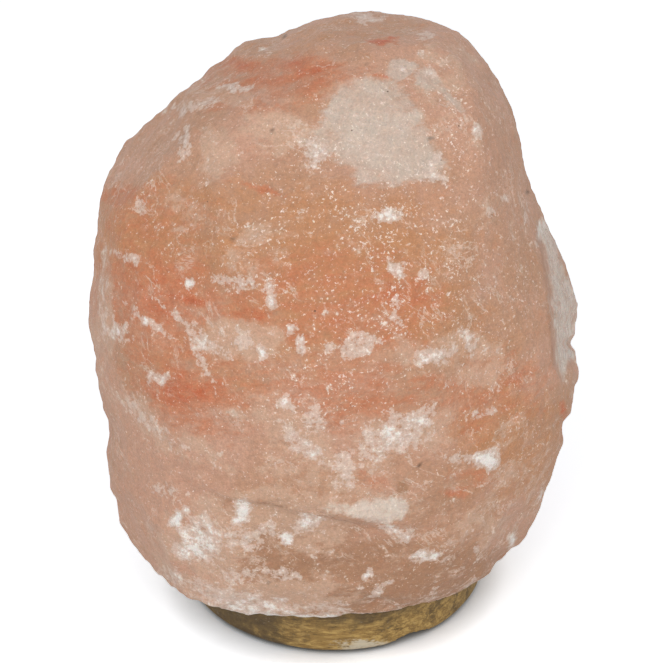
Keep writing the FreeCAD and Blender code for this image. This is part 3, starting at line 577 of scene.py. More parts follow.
# painted shade in the recess under the ledge
UNDERCUT: tuple[Pixel, ...] = (
    (222, 498), (253, 508), (280, 503), (310, 509), (333, 516), (357, 524), (380, 529), (412, 530),
    (420, 548), (392, 578), (330, 588), (270, 574), (236, 540),
)  # fmt: skip
FRONT_SHARDS: dict[Tint, Shard] = {
    Tint.FACET: Shard(CHIPPED_FACE, 22.0, 1.12),
    Tint.CREAM: Shard(CREAM_LENS, 9.0),
    Tint.CLEAR: Shard(GLASSY_SPLIT, 7.0, 0.95),
    Tint.SEAM: Shard(SPLIT_LINE, 2.2, 0.6),
    # painted shade below the ledge
    Tint.BROWN: Shard(UNDERCUT, 34.0, 0.9),
}

# The soft ledge across the lower front. The salt steps back below it.
LEDGE: tuple[Pixel, ...] = (
    (205, 488), (225, 497), (253, 506), (280, 502), (310, 508), (333, 515), (357, 523), (380, 528),
    (412, 526),
)  # fmt: skip


@dataclass(frozen=True)
class Dent:
    """A shallow hollow, or a bump where its depth is below zero, placed in the photograph's frame."""

    middle: Pixel
    reach: Pixel
    depth_mm: float

    def weights(self, pixels: np.ndarray) -> np.ndarray:
        """How much of its depth each point takes: all in the middle and none from the reach outwards."""
        offset = (pixels - self.middle) / self.reach
        return np.clip(1 - (offset**2).sum(axis=1), 0, 1) ** 2


# What a step back shows of the outline beyond the hewn faces.
DENTS: tuple[Dent, ...] = (
    Dent((248, 50), (40, 24), -3.0),
    Dent((212, 66), (20, 12), -1.2),
    Dent((92, 270), (24, 22), 1.6),
    Dent((92, 350), (24, 24), 1.6),
    Dent((104, 430), (24, 24), 1.8),
    Dent((114, 506), (24, 18), 1.6),
    Dent((577, 305), (24, 22), -1.8),
    Dent((576, 343), (14, 9), 2.0),
    Dent((578, 372), (18, 16), -1.0),
    Dent((569, 426), (24, 16), 2.2),
    Dent((510, 562), (26, 20), 3.0),
    Dent((284, 610), (36, 10), -1.2),
    Dent((206, 600), (16, 10), 1.4),
    Dent((384, 604), (40, 9), 1.4),
    Dent((197, 540), (16, 16), 1.0),
    Dent((244, 509), (9, 10), -0.8),
    Dent((362, 512), (44, 14), -1.0),
)


# The salt's layers are thin, and tilted a little.
BEDDING: dict[str, Triple] = {"turn": (6.0, 10.0, 0.0), "squeeze": (1.0, 1.0, 2.6)}


@dataclass(frozen=True)
class SaltFinish:
    """Rock salt, hewn and brushed: a dull, cloudy, slightly see-through stone.

    Iron gives the orange and red bands, trapped air and bruises the white ones, and broken crystals
    the small bright flecks, with painted glints among them. Painted shade darkens it under the ledge
    and low on the front.
    """

    pink: str = "#CC9F87"
    tan: str = "#C19477"
    amber: str = "#C38A5F"
    ochre: str = "#C87F5A"
    rust: str = "#C4633C"
    # also the painted shade under the ledge and low on the front
    brown: str = "#AD8264"
    cloud: str = "#D3B098"
    pale: str = "#DDC6B8"
    crust: str = "#F4EEE8"
    facet: str = "#D3C3B5"
    cream: str = "#E0D1C3"
    clear: str = "#DCCDC0"
    crack: str = "#946548"
    speck: str = "#4A3626"
    # bright flecks, and painted glints
    fleck_and_glint: str = "#FBEDE2"
    thread: str = "#E8D2C2"
    zones: Cloud = Cloud(40, 5, 0.6)
    lumps: Cloud = Cloud(12, 9, 0.68)
    blots: Cloud = Cloud(4.2, 8, 0.74)
    bands: Cloud = Cloud(24, 9, 0.68, **BEDDING)
    shreds: Cloud = Cloud(8, 9, 0.74, **BEDDING)
    dust: Cloud = Cloud(1.7, 4, 0.8)
    grit: Cloud = Cloud(0.7, 2, 0.8)
    cracks: Cloud = Cloud(15, 7, 0.66, 0.5, turn=(0.0, -38.0, 0.0), squeeze=(0.45, 1.0, 1.0))
    cracked: Cloud = Cloud(17, 4, 0.65)  # where the block has cracks
    crystals: Cloud = Cloud(1.05, 3, 0.75)
    crowds: Cloud = Cloud(7, 4, 0.75)  # where its bright flecks and painted glints crowd
    grain_gap_mm: float = 6.0  # between the places that may hold a dark grain

    def build(self) -> bpy.types.Material:
        """Makes the salt's material."""
        salt = Recipe("rock_salt_hewn")
        colour = self.body(salt)
        for lay in (self.rusted, self.clouded, self.crusted, self.threaded, self.speckled):
            colour = lay(salt, colour)
        shade = salt.weighed(0.28, (self.dust, 0.6), (self.blots, 0.32), (self.grit, 0.52))
        shaded = salt.add("ShaderNodeHueSaturation", {"Value": shade, "Color": colour})
        rough = salt.weighed(0.4, (self.blots, 0.3), (salt.ragged(Tint.CLEAR.value), -0.3))
        salt.set(Base_Color=shaded, Roughness=rough, IOR=1.54, Specular_IOR_Level=0.3)
        salt.set(Subsurface_Weight=0.25, Subsurface_Scale=4 * MM, Subsurface_Radius=(1.0, 0.5, 0.32))
        salt.set(Sheen_Weight=0.1, Sheen_Roughness=0.4)
        height = salt.weighed(0.0, (self.dust, 1.0), (self.blots, 0.8), (self.lumps, 1.6))
        relief = {"Height": height, "Distance": 1.0 * MM, "Strength": 0.6}
        salt.set(Normal=salt.add("ShaderNodeBump", relief))
        return salt.material

    def body(self, salt: Recipe) -> Socket:
        """The salt's own colour: tan to pink, more orange where it is clear and duller on its skin, with
        painted shade in darker brown under the ledge and low on the front.
        """
        colour = salt.coat(linear(self.tan), self.pink, self.zones, 0.4, 0.6)
        for kind, tone in ((Tint.PINK, self.pink), (Tint.AMBER, self.amber), (Tint.BROWN, self.brown)):
            field = salt.ragged(kind.value, (self.bands, 0.8), (self.blots, 0.5))
            colour = salt.coat(colour, tone, field, 0.1, 0.95, 0.92)
        return colour

    def rusted(self, salt: Recipe, colour: Socket) -> Socket:
        """Lays the iron bands over a colour: an orange haze, and red where they are densest."""
        iron = salt.ragged(Tint.RUST.value, (self.shreds, 1.5), (self.bands, 0.5))
        colour = salt.coat(colour, self.ochre, iron, 0.1, 1.0, 0.8)
        return salt.coat(colour, self.rust, iron, 0.8, 1.7, 0.85)

    def clouded(self, salt: Recipe, colour: Socket) -> Socket:
        """Lays milky clouds and the pale chipped face over a colour."""
        veil = salt.ragged(Tint.VEIL.value, (self.lumps, 1.5), (self.shreds, 1.0))
        colour = salt.coat(colour, self.cloud, veil, 0.2, 0.75, 0.7)
        chip = salt.ragged(Tint.FACET.value, (self.shreds, 1.1), (self.lumps, 0.9))
        thin = {"Value": salt.level(self.lumps), "From Min": 0.35, "From Max": 0.65}
        thick = thin | {"To Min": 0.52, "To Max": 0.87}
        share = salt.add("ShaderNodeMapRange", thick, interpolation_type="SMOOTHSTEP")
        return salt.coat(colour, self.facet, chip, 0.3, 1.0, share)

    def crusted(self, salt: Recipe, colour: Socket) -> Socket:
        """Lays the white crust over a colour: ragged and pale at its rim, and whiter where it is thick."""
        crust = salt.ragged(Tint.CRUST.value, (self.blots, 2.0), (self.dust, 0.5), (self.lumps, 0.5))
        colour = salt.coat(colour, self.pale, crust, 0.42, 0.66, 0.72)
        colour = salt.coat(colour, self.crust, crust, 0.8, 1.45, 0.95)
        seam = salt.ragged(Tint.CREAM.value, (self.blots, 0.9), (self.lumps, 0.9))
        colour = salt.coat(colour, self.cream, seam, 0.3, 1.0, 0.85)
        clear = salt.ragged(Tint.CLEAR.value, (self.blots, 0.9), (self.lumps, 1.1))
        return salt.coat(colour, self.clear, clear, 0.2, 1.2, 0.85)

    def threaded(self, salt: Recipe, colour: Socket) -> Socket:
        """Lays thin white threads of healed cracks over a colour, sloping down to the right in front."""
        course = salt.weighed(-0.5, (self.cracks, 1.0))
        from_crack = salt.add("ShaderNodeMath", {0: course}, operation="ABSOLUTE")
        places = {"Value": salt.level(self.cracked), "From Min": 0.47, "From Max": 0.62, "To Max": 0.52}
        share = salt.add("ShaderNodeMapRange", places, interpolation_type="SMOOTHSTEP")
        return salt.coat(colour, self.thread, from_crack, 0.017, 0.003, share)

    def speckled(self, salt: Recipe, colour: Socket) -> Socket:
        """Strews bright crystal flecks with painted glints among them, and dark grains, over a colour, each
        about half a millimetre.
        """
        places = {"Value": salt.level(self.crowds), "From Min": 0.4, "From Max": 0.62, "To Max": 0.1}
        crowd = salt.add("ShaderNodeMapRange", places, interpolation_type="SMOOTHSTEP")
        # painted glints gather the bright flecks where they crowd
        glints = (salt.ragged(Tint.GLINT.value), crowd)
        bright = salt.weighed(-0.06, glints, (self.lumps, 0.12), (self.crystals, 1.0))
        colour = salt.coat(colour, self.fleck_and_glint, bright, 0.625, 0.7, 0.8)
        colour = salt.coat(colour, self.crack, salt.ragged(Tint.SEAM.value), 0, 1, 0.6, soft=False)
        gap = {"Vector": salt.place, "Scale": 1 / (self.grain_gap_mm * MM)}
        cells = add_node(salt.tree, "ShaderNodeTexVoronoi", gap).outputs
        draws = add_node(salt.tree, "ShaderNodeSeparateColor", {"Color": cells["Color"]}).outputs
        rare = salt.add("ShaderNodeMath", {0: draws[0], 1: 0.9}, operation="GREATER_THAN")
        size = salt.weighed(0.03, (draws[1], 0.03))
        near = salt.add("ShaderNodeMath", {0: cells["Distance"], 1: size}, operation="LESS_THAN")
        grain = salt.add("ShaderNodeMath", {0: rare, 1: near}, operation="MULTIPLY")
        painted = salt.ragged(Tint.SPECK.value)
        dark = salt.add("ShaderNodeMath", {0: grain, 1: painted}, operation="MAXIMUM")
        return salt.coat(colour, self.speck, dark, 0, 1, 0.8, soft=False)


@dataclass
class SaltBlock:
    """The block of rock salt: the CAD block, roughened, chipped and painted."""

    frame: dict[str, Any]
    view: PhotoView
    voxel: float = 1.43 * MM  # the finest that stays under 200,000 triangles
    seed: int = 7
    hollow: tuple[float, float] = (27.5 * MM, 120 * MM)  # radius and top of what stays smooth round the bulb
    plug_circle: tuple[float, float] = (40 * MM, 5.5 * MM)  # and round the wall plugs: circle and reach
    plug_top: float = 42 * MM  # above the foot
    foot_fade: float = 3 * MM  # height over which the foot's skin grows rough
    cut_edge: float = 5.0  # pixels over which a cut face begins
    spared: float = 0.7  # how little the knocks show on the chipped face
    ledge_pixels: Triple = (5.0, 70.0, 30.0)  # the step back below the ledge: its edge, depth and ends
    sunk_mm: Triple = (0.8, 1.2, 1.4)  # the chipped face, the glassy split, and below the ledge
    foot_edge: tuple[float, float] = (48 * MM, 8 * MM)  # radius where its rim begins, and the fade
    chips_height_mm: float = 9.0
    chips_mm: Triple = (0.5, 1.1, 1.7)  # how far its chips go up: all round, where ragged, where broken
    broken_foot: tuple[float, float] = (338.0, 440.0)  # columns where the foot is broken away
    broken_fades: tuple[float, float] = (8.0, 30.0)
    powder_height_mm: float = 6.0
    powder: float = 2.0  # the strength of the foot's white powder
    least_powder: float = 0.35
    powdery_foot: tuple[float, float] = (350.0, 420.0)  # columns over which its white powder thins out
    tears_mm: tuple[float, float] = (9.0, 3.4)  # the sizes of the tears in the patches' edges
    tears_deep: tuple[float, float] = (6.0, 3.2)  # how deep they go, in pixels
    tears_strewn: tuple[float, float] = (2.6 * MM, 1.3 * MM)  # and in the strewn patches
    chip_tear: float = 2.5  # pixels
    crisp_reach: float = 6.0  # patches smaller than this many pixels keep their outline
    piece: bpy.types.Object = field(init=False)

    def build(self) -> None:
        """Shapes, paints and dresses the block."""
        self.piece = copy_node(self.frame, "salt_crystal", "salt_block")
        apply_modifier(self.piece, "REMESH", mode="VOXEL", voxel_size=self.voxel, use_smooth_shade=True)
        apply_modifier(self.piece, "SMOOTH", factor=0.5, iterations=3)
        self.roughen()
        self.paint()
        dress(self.piece, SaltFinish().build())
        select_only(self.piece)
        bpy.ops.object.shade_smooth()
        fit(self.piece, "lamp", "salt_crystal")

    def skin_group(self, name: str, weights: np.ndarray) -> None:
        """Makes a vertex group from one weight for each point."""
        group = self.piece.vertex_groups.new(name=name)
        for index in np.nonzero(weights > 0.001)[0]:
            group.add([int(index)], float(weights[index]), "REPLACE")

    def above_foot(self, places: np.ndarray) -> np.ndarray:
        """Each point's height above the block's foot."""
        return places[:, 2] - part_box("salt_crystal")[0].z

    def outer_skin(self, places: np.ndarray) -> np.ndarray:
        """One for each point on the block's outside, fading to none in its drilled holes and on its foot."""
        radius, above = np.hypot(places[:, 0], places[:, 1]), self.above_foot(places)
        drilled = (radius < self.hollow[0]) & (places[:, 2] < self.hollow[1])
        plugged = (np.abs(radius - self.plug_circle[0]) < self.plug_circle[1]) & (above < self.plug_top)
        return np.where(drilled | plugged, 0.0, ramp(above, self.voxel, self.foot_fade))

    def displace(self, name: str, size_mm: float, strength_mm: float, group: str, depth: int = 3) -> None:
        """Pushes the skin in and out by a cloudy pattern.

        Args:
            name: the pattern's name.
            size_mm: the size of its features.
            strength_mm: the whole way from its lowest to its highest.
            group: the vertex group that it works on.
            depth: how many finer copies it adds.
        """
        pattern = bpy.data.textures.new(name, "CLOUDS")
        pattern.noise_scale = size_mm * MM
        pattern.noise_depth = depth
        settings = {"texture": pattern, "texture_coords": "LOCAL", "direction": "NORMAL", "mid_level": 0.5}
        apply_modifier(self.piece, "DISPLACE", strength=strength_mm * MM, vertex_group=group, **settings)

    def roughen(self) -> None:
        """Roughens the outside, and cuts the ledge, the chipped face and the glassy split."""
        places, directions = points_and_normals(self.piece)
        skin = self.outer_skin(places)
        pixels = self.view.pixels(places)
        front = self.view.front(places, directions)
        chipped = Shard(CHIPPED_FACE, self.cut_edge).weights(pixels) * front
        glassy = Shard(GLASSY_SPLIT, self.cut_edge).weights(pixels) * front
        below = self.below_ledge(pixels) * front
        self.skin_group("skin", skin)
        self.skin_group("broken_skin", skin * (1 - self.spared * chipped) * (1 - glassy))
        self.displace("broad_swells", 30, 1.8, "skin")
        self.displace("knocks", 12, 2.2, "broken_skin")
        self.displace("grains", 4, 1.0, "broken_skin", depth=2)
        places, directions = points_and_normals(self.piece)
        pixels = self.view.pixels(places)
        near = self.view.front(places, directions, sharp=4.0, shift=0.4)
        sunk = sum(depth * cut for depth, cut in zip(self.sunk_mm, (chipped, glassy, below))) * MM
        for dent in DENTS:
            sunk += dent.weights(pixels) * near * skin * dent.depth_mm * MM
        places -= directions * sunk[:, None]
        places[:, 2] += self.foot_chips(places, pixels)
        move_points(self.piece, places)

    def foot_rim(self, places: np.ndarray, height_mm: float) -> np.ndarray:
        """One on the block's lowest outer edge, fading to none at a height above it and on the wood."""
        outside = ramp(np.hypot(places[:, 0], places[:, 1]), *self.foot_edge)
        return np.clip(1 - self.above_foot(places) / (height_mm * MM), 0, 1) * outside

    def foot_chips(self, places: np.ndarray, pixels: np.ndarray) -> np.ndarray:
        """How far the block's lowest edge is broken away upwards: ragged, and most at the front right."""
        (low, high), (rising, falling) = self.broken_foot, self.broken_fades
        broken = ramp(pixels[:, 0], low, rising) * ramp(pixels[:, 0], high, -falling) * (places[:, 1] < 0)
        ragged = ruffle(places * (1.0, 1.0, 0.2), 5, 4.4)[:, 0] + 0.5 * ruffle(places, 2, 9.1)[:, 0]
        always, rough, deep = self.chips_mm
        return self.foot_rim(places, self.chips_height_mm) * (always + rough * ragged + deep * broken) * MM

    def below_ledge(self, pixels: np.ndarray) -> np.ndarray:
        """How much each point belongs to the face that steps back below the ledge."""
        knots = np.array(LEDGE)
        sharp, fade, ends = self.ledge_pixels
        drop = pixels[:, 1] - np.interp(pixels[:, 0], knots[:, 0], knots[:, 1])
        step = np.clip(drop / sharp + 0.5, 0, 1) * np.clip(1 - drop / fade, 0, 1)
        left = np.clip((pixels[:, 0] - knots[0, 0]) / ends + 1, 0, 1)
        right = np.clip((knots[-1, 0] - pixels[:, 0]) / ends + 1, 0, 1)
        return step * left * right

    def paint(self) -> None:
        """Paints every kind of patch as an attribute: from the listed patches in front, and scattered on the
        other sides.
        """
        places, directions = points_and_normals(self.piece)
        pixels = self.view.pixels(places)
        broad, fine = ruffle(places, self.tears_mm[0], 3.1), ruffle(places, self.tears_mm[1], 8.7)
        torn = pixels + self.tears_deep[0] * broad[:, (0, 2)] + self.tears_deep[1] * fine[:, (0, 2)]
        chipped = pixels + self.chip_tear * fine[:, (0, 2)]
        front = self.view.front(places, directions, sharp=8.0, shift=0.02)
        layers = {tint: np.zeros(len(places)) for tint in Tint}
        for tint, patches in FRONT_PATCHES.items():
            for patch in patches:
                crisp = tint is Tint.SPECK or max(patch.long, patch.wide) < self.crisp_reach
                weights = patch.weights(pixels if crisp else torn) * front
                np.maximum(layers[tint], weights, out=layers[tint])
        for tint, shard in FRONT_SHARDS.items():
            np.maximum(layers[tint], shard.weights(chipped) * front, out=layers[tint])
        shaken = places + self.tears_strewn[0] * broad + self.tears_strewn[1] * fine
        for tint, weights in self.scattered(shaken, places, directions).items():
            np.maximum(layers[tint], weights * (1 - front), out=layers[tint])
        thick, thin = self.powdery_foot
        powder = np.clip((thin - pixels[:, 0]) / (thin - thick), self.least_powder, 1)
        powder = self.powder * powder * self.foot_rim(places, self.powder_height_mm)
        np.maximum(layers[Tint.CRUST], powder, out=layers[Tint.CRUST])
        paint_layers(self.piece, {tint.value: weights for tint, weights in layers.items()})

    def scattered(
        self, torn: np.ndarray, places: np.ndarray, directions: np.ndarray
    ) -> dict[Tint, np.ndarray]:
        """Strews patches like the front's over the whole block.

        Args:
            torn: the block's points, each nudged so that the patches get uneven edges.
            places: the block's points.
            directions: the outward direction at each.

        Returns:
            The strength of each kind of patch at each point.
        """
        draw = np.random.default_rng(self.seed)
        plan = {  # kind: how many, and their reach in millimetres
            Tint.RUST: (30, 14), Tint.AMBER: (10, 38), Tint.PINK: (10, 30), Tint.BROWN: (8, 30),
            Tint.VEIL: (26, 15), Tint.CRUST: (95, 6), Tint.FACET: (3, 15), Tint.GLINT: (8, 32),
        }  # fmt: skip
        layers = {}
        for kind, (count, reach) in plan.items():
            layers[kind] = np.zeros(len(places))
            for _ in range(count):
                index = draw.integers(len(places))
                middle, outward = places[index], directions[index]
                lean = math.radians(draw.uniform(-40, 20))
                sideways = np.cross((0.0, 0.0, 1.0), outward)
                sideways /= max(np.linalg.norm(sideways), 1e-6)
                upward = np.cross(outward, sideways)
                along = sideways * math.cos(lean) + upward * math.sin(lean)
                across = upward * math.cos(lean) - sideways * math.sin(lean)
                long = reach * MM * draw.uniform(0.5, 1.6)
                short = long * draw.uniform(0.25, 0.7)
                offset = torn - middle
                depth = (offset @ outward) / (20 * MM)
                oval = ((offset @ along) / long) ** 2 + ((offset @ across) / short) ** 2 + depth**2
                strength = draw.uniform(0.6, 1.4)
                weights = strength * np.clip(1 - oval / PATCH_SPREAD**2, 0, 1)
                np.maximum(layers[kind], weights, out=layers[kind])
        return layers


# ---------------------------------------------------------------- wooden base
@dataclass(frozen=True)
class WoodFinish:
    """Oiled tropical wood, turned and sawn: streaky golden-brown grain with dark pores.

    Painted shade darkens one side and the top under the salt, and salt dust with a painted reflection of the
    white floor whitens the worn lower edge.
    """

    light: str = "#BC9B5A"
    middle: str = "#94743C"
    dark: str = "#5A4521"
    pore: str = "#35240F"
    # painted shade: the left side, the right side and the top under the salt are darker
    painted_shade: str = "#4B3A20"
    # salt dust on the worn lower front edge, with a painted reflection of the white floor
    dust: str = "#CFC6B2"
    grain: Cloud = Cloud(1.5, 8, 0.75, 0.3, squeeze=(0.11, 1.0, 1.0))
    bands: Cloud = Cloud(4.5, 6, 0.75, squeeze=(0.11, 1.0, 1.0))
    pores: Cloud = Cloud(0.7, 4, 0.8, squeeze=(0.3, 1.0, 1.0))
    stains: Cloud = Cloud(8, 6, 0.74)

    def build(self) -> bpy.types.Material:
        """Makes the wood's material."""
        wood = Recipe("wood_oiled")
        colour = wood.coat(linear(self.middle), self.light, self.grain, 0.46, 0.58)
        colour = wood.coat(colour, self.dark, self.bands, 0.49, 0.38, 0.8)
        colour = wood.coat(colour, self.dark, self.grain, 0.44, 0.36, 0.85)
        colour = wood.coat(colour, self.pore, self.pores, 0.43, 0.3, 0.8)
        # painted shade on the sides and under the salt
        painted_shade = wood.ragged("painted_shade", (self.stains, 1.2))
        colour = wood.coat(colour, self.painted_shade, painted_shade, 0.2, 1.1, 0.85)
        # salt dust and a painted reflection of the white floor along the lower front edge
        dust = wood.ragged("dust", (self.stains, 1.2), (self.pores, 1.6))
        colour = wood.coat(colour, self.dust, dust, 0.4, 1.3, 0.8)
        rough = wood.weighed(0.4, (self.grain, 0.3))
        wood.set(Base_Color=colour, Roughness=rough, Coat_Weight=0.08, Coat_Roughness=0.4)
        height = wood.weighed(0.0, (self.pores, 1.0), (self.grain, 1.4))
        relief = {"Height": height, "Distance": 0.35 * MM, "Strength": 0.7}
        wood.set(Normal=wood.add("ShaderNodeBump", relief))
        return wood.material


@dataclass
class WoodBase:
    """The turned wooden base: worn edges, painted shade on one side and under the salt, and salt dust with a
    painted reflection of the white floor along its lower front.
    """

    frame: dict[str, Any]
    view: PhotoView
    voxel: float = 0.8 * MM
    rim_edge: tuple[float, float] = (52 * MM, 6 * MM)  # radius where the rim begins to swell, and the fade
    rim_growth_mm: float = 1.3
    rim_swing_mm: float = 0.25
    shade_edge: tuple[float, float] = (55 * MM, 4 * MM)  # radius where the painted shade begins, and its fade
    shade_pixels: tuple[float, float] = (262.0, 345.0)  # the painted shade on the left side fades from full to none between these columns
    dull_pixels: tuple[float, float] = (430.0, 25.0)  # the right side is duller from here, and the fade
    dull_share: float = 0.5
    top_shade_band: tuple[float, float] = (8.0 * MM, 8.0 * MM)  # painted shade under the salt: darkens from this height on, over this height
    top_shade_share: float = 0.75
    # salt dust along the worn lower front edge, with a painted reflection of the white floor on its bevel
    dust_and_reflection_columns: tuple[float, float] = (320.0, 410.0)
    dust_and_reflection_fades: tuple[float, float] = (40.0, 10.0)
    dust_and_reflection_rows: tuple[float, float] = (636.5, 7.0)  # the row where the dust and painted reflection begin, and their fade
    dust_and_reflection_tear: float = 3.0  # pixels
    dust_and_reflection_strength: float = 1.3

    def build(self) -> None:
        """Shapes and dresses the base."""
        piece = copy_node(self.frame, "wood_base", "turned_base")
        apply_modifier(piece, "REMESH", mode="VOXEL", voxel_size=self.voxel, use_smooth_shade=True)
        apply_modifier(piece, "SMOOTH", factor=0.5, iterations=2)
        self.swell(piece)
        self.paint(piece)
        dress(piece, WoodFinish().build())
        select_only(piece)
        bpy.ops.object.shade_smooth_by_angle(angle=math.radians(40))
        fit(piece, "lamp", "wood_base")

    def swell(self, piece: bpy.types.Object) -> None:
        """Fills the rim out a little, unevenly, as on a hand-sanded disc."""
        places, _ = points_and_normals(piece)
        radius = np.hypot(places[:, 0], places[:, 1])
        growth = (self.rim_growth_mm + self.rim_swing_mm * ruffle(places, 16, 2.2)[:, 1]) * MM
        places[:, :2] *= (1 + ramp(radius, *self.rim_edge) * growth / np.maximum(radius, MM))[:, None]
        move_points(piece, places)

    def paint(self, piece: bpy.types.Object) -> None:
        """Paints two attributes: painted shade on the sides and under the salt, and salt dust with a painted
        reflection along the lower edge.
        """
        places, directions = points_and_normals(piece)
        pixels = self.view.pixels(places)
        columns, rows = pixels[:, 0], pixels[:, 1]
        # painted shade: darker on the left side, on the right side and on the top under the salt
        dark, unshaded = self.shade_pixels
        side = ramp(columns, unshaded, dark - unshaded)
        far_side = self.dull_share * ramp(columns, *self.dull_pixels)
        under = self.top_shade_share * ramp(places[:, 2], *self.top_shade_band)
        rim = ramp(np.hypot(places[:, 0], places[:, 1]), *self.shade_edge)
        painted_shade = np.maximum.reduce([side, far_side, under]) * rim
        # salt dust and a painted reflection of the white floor along the lower front edge
        (low, high), (rising, falling) = self.dust_and_reflection_columns, self.dust_and_reflection_fades
        across = ramp(columns, low, rising) * ramp(columns, high, -falling)
        row, fade = self.dust_and_reflection_rows
        torn = rows - row + self.dust_and_reflection_tear * ruffle(places, 7, 5.3)[:, 0]
        front = self.view.front(places, directions)
        dust = self.dust_and_reflection_strength * (np.clip(torn / fade, 0, 1) * across * front)
        paint_layers(piece, {"painted_shade": painted_shade, "dust": dust})


# ---------------------------------------------------------------- small parts
@dataclass(frozen=True)
class PlainFinish:
    """A finish with one main colour, a second one in its stains, and an even fine relief."""

    name: str
    colour: str
    stain: str
    stain_share: float  # how strong the stains are
    stain_mm: float
    rough: float
    rough_swing: float
    relief_mm: float  # how deep the relief is
    relief_size_mm: float
    shader: tuple[tuple[str, float], ...] = ()
    drawn_out: Triple | None = None  # squeezes the relief along each axis

    def build(self) -> bpy.types.Material:
        """Makes the material."""
        recipe = Recipe(self.name)
        stains = Cloud(self.stain_mm, 6, 0.66)
        relief = Cloud(self.relief_size_mm, 3, 0.6, squeeze=self.drawn_out)
        colour = recipe.coat(linear(self.colour), self.stain, stains, 0.42, 0.68, self.stain_share)
        rough = recipe.weighed(self.rough - self.rough_swing, (relief, 2 * self.rough_swing))
        recipe.set(Base_Color=colour, Roughness=rough, **dict(self.shader))
        inputs = {"Height": recipe.level(relief), "Distance": self.relief_mm * MM, "Strength": 1.0}
        recipe.set(Normal=recipe.add("ShaderNodeBump", inputs))
        return recipe.material


METAL = (("Metallic", 1.0),)
SMALL_FINISHES: dict[str, PlainFinish] = {
    # dull black, with grey scuffs where it rests on the table
    "rubber": PlainFinish("rubber_black", "#1F1E1D", "#3C3A38", 0.6, 3.0, 0.8, 0.12, 0.05, 0.5),
    # bright plated steel with a faint yellow bloom
    "zinc_steel": PlainFinish(
        "steel_zinc_plated", "#C4C6C8", "#A39C86", 0.5, 2.5, 0.34, 0.12, 0.02, 0.4, METAL
    ),
    # rolled strip: fine lines along its length, and blue-grey from hardening
    "spring_steel": PlainFinish(
        "steel_spring_strip", "#A2A5A8", "#6F7680", 0.5, 4.0, 0.36, 0.14, 0.02, 0.25, METAL, (1, 0.06, 1)
    ),
    # milky grey moulded nylon
    "nylon": PlainFinish(
        "nylon_grey", "#B4B7B8", "#9DA1A3", 0.4, 4.0, 0.45, 0.08, 0.03, 0.6, (("Subsurface Weight", 0.15),)
    ),
    # glossy black thermoset with moulding marks and faint dust
    "black_plastic": PlainFinish(
        "plastic_black_moulded", "#161514", "#2E2B28", 0.5, 5.0, 0.34, 0.1, 0.02, 0.7,
        (("Coat Weight", 0.15),),
    ),  # fmt: skip
    # glazed white porcelain with faint grey specks
    "white_ceramic": PlainFinish(
        "porcelain_white", "#E9E6DD", "#CFC9BB", 0.5, 1.6, 0.24, 0.08, 0.03, 1.2, (("Coat Weight", 0.4),)
    ),
    # stamped brass, browned in places
    "brass": PlainFinish("brass_stamped", "#CDA650", "#8F6A33", 0.55, 2.2, 0.3, 0.12, 0.02, 0.3, METAL),
    # soft grey solder, lumpy from cooling
    "solder": PlainFinish("solder_tin", "#B4B5B4", "#85868A", 0.6, 1.2, 0.36, 0.12, 0.08, 0.9, METAL),
    # near-black fused glass
    "black_glass": PlainFinish(
        "glass_black", "#0C0B10", "#221E28", 0.5, 2.0, 0.08, 0.04, 0.01, 1.0, (("Coat Weight", 0.5),)
    ),
    # nickel-plated brass, lightly brushed round its turns
    "nickel": PlainFinish(
        "nickel_plated", "#CFCBC2", "#A59C8A", 0.4, 2.0, 0.24, 0.1, 0.015, 0.3, METAL, (1, 1, 6)
    ),
    # thin clear glass with a trace of green
    "clear_glass": PlainFinish(
        "glass_clear", "#F4FAF7", "#E6F0EC", 0.5, 8.0, 0.02, 0.01, 0.01, 12.0,
        (("Transmission Weight", 1.0), ("IOR", 1.48)),
    ),  # fmt: skip
    # chalky tan cement
    "cement": PlainFinish("cement_tan", "#BEB29C", "#9D907A", 0.6, 1.0, 0.88, 0.06, 0.08, 0.4),
    # drawn tungsten, dark grey
    "tungsten": PlainFinish("tungsten_drawn", "#77777B", "#4E4D52", 0.5, 0.8, 0.4, 0.1, 0.01, 0.2, METAL),
}


def dress_nodes(frame: dict[str, Any]) -> None:
    """Gives every CAD node that stays its own slot's finish."""
    finishes = {slot: finish.build() for slot, finish in SMALL_FINISHES.items()}
    for part in frame["record"]["subparts"]:
        material = finishes.get(part["material_slot"])
        if material is None:
            continue
        for slot in frame["nodes"][part["node"]].material_slots:
            slot.material = material
        LOG.info("%s keeps its shape and gets %s", part["node"], material.name)


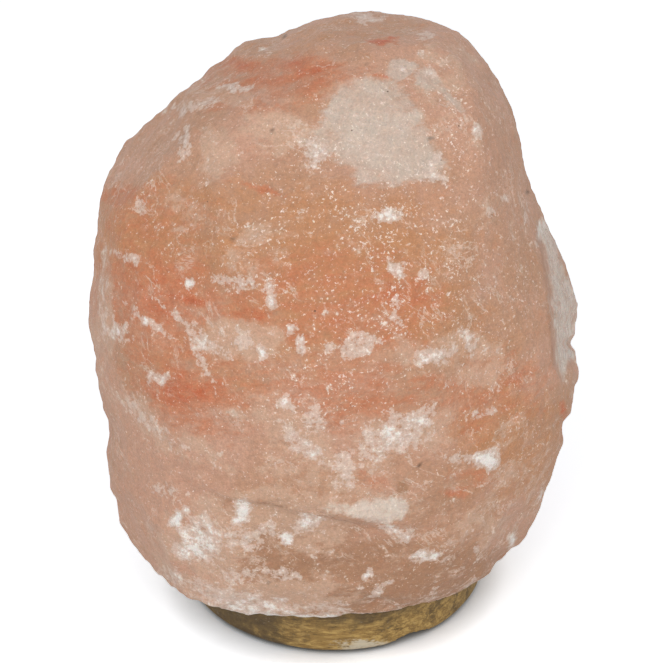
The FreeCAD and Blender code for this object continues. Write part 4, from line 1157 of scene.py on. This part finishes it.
# ---------------------------------------------------------------- stage
@dataclass
class Stage:
    """A white floor and plain soft light."""

    reach: float = 3.0
    paper: str = "#E6E4E2"
    shade: str = "#6E7070"
    nook: float = 0.024  # how far the floor looks for what shades it
    openness: tuple[float, float] = (0.1, 0.72)  # where the floor is darkest, and where it is clear
    white: Triple = (1.8 * 0.97, 1.8, 1.8 * 1.04)  # bright enough to show white to the camera
    room_level: float = 0.5
    aim: Triple = (0.0, 0.0, 0.1)  # the middle of the object

    def floor(self) -> None:
        """Adds the floor, which is bright enough to show white to the camera and keeps the lamp's shadow."""
        select_nothing()
        bpy.ops.mesh.primitive_plane_add(size=2 * self.reach, location=(0, 0, 0))
        floor = bpy.context.object
        floor.name = "floor"
        material = bpy.data.materials.new("paper_sweep")
        material.use_nodes = True
        tree = material.node_tree
        tree.nodes.clear()
        ray = add_node(tree, "ShaderNodeLightPath").outputs["Is Camera Ray"]
        sky = add_node(tree, "ShaderNodeAmbientOcclusion", {"Distance": self.nook}, samples=16)
        levels = {"Value": sky.outputs["AO"], "From Min": self.openness[0], "From Max": self.openness[1]}
        clear = add_node(tree, "ShaderNodeMapRange", levels).outputs[0]
        tones = {"Factor": clear, 6: linear(self.shade), 7: (*self.white, 1.0)}
        lit = add_node(tree, "ShaderNodeMix", tones, data_type="RGBA")
        seen = add_node(tree, "ShaderNodeMix", {"Factor": ray, 6: linear(self.paper)}, data_type="RGBA")
        tree.links.new(lit.outputs[2], seen.inputs[7])
        paper = add_node(tree, "ShaderNodeBsdfDiffuse", {"Color": seen.outputs[2]})
        add_node(tree, "ShaderNodeOutputMaterial", {"Surface": paper.outputs[0]})
        dress(floor, material)

    def light(self, name: str, place: Sequence[float], size: float, watts: float) -> None:
        """Adds one soft square lamp that points at the object's middle.

        Args:
            name: the lamp's name.
            place: where it stands, in metres.
            size: the length of its side.
            watts: its power.
        """
        data = bpy.data.lights.new(name, "AREA")
        data.size = size
        data.energy = watts
        lamp = bpy.data.objects.new(name, data)
        lamp.location = place
        lamp.rotation_euler = (Vector(self.aim) - Vector(place)).to_track_quat("-Z", "Y").to_euler()
        bpy.context.scene.collection.objects.link(lamp)

    def world(self) -> None:
        """Fills the room with even light, and shows white behind the object."""
        world = bpy.data.worlds.new("white_room")
        bpy.context.scene.world = world
        world.use_nodes = True
        tree = world.node_tree
        tree.nodes.clear()
        ray = add_node(tree, "ShaderNodeLightPath").outputs
        seen = ray["Is Camera Ray"]
        for kind in ("Is Glossy Ray", "Is Transmission Ray"):
            seen = add_node(tree, "ShaderNodeMath", {0: seen, 1: ray[kind]}, operation="MAXIMUM").outputs[0]
        levels = {"Value": seen, "To Min": self.room_level, "To Max": 1.0}
        strength = add_node(tree, "ShaderNodeMapRange", levels).outputs[0]
        white = {"Color": linear("#FFFFFF"), "Strength": strength}
        shine = add_node(tree, "ShaderNodeBackground", white)
        add_node(tree, "ShaderNodeOutputWorld", {"Surface": shine.outputs[0]})

    def build(self) -> None:
        """Builds the floor and the light."""
        self.floor()
        self.world()
        self.light("soft_key", (-0.75, -1.25, 0.85), size=1.0, watts=9.0)
        self.light("soft_fill", (0.9, -1.2, 0.7), size=1.2, watts=7.6)


def main() -> None:
    """Builds the whole scene in order."""
    logging.basicConfig(level=logging.INFO, format="%(name)s: %(message)s")
    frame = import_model()
    view = PhotoView()
    view.build()
    Stage().build()
    SaltBlock(frame, view).build()
    WoodBase(frame, view).build()
    dress_nodes(frame)
    bpy.context.scene.view_settings.view_transform = "Standard"
    bpy.context.view_layer.update()


if __name__ == "__main__":
    main()
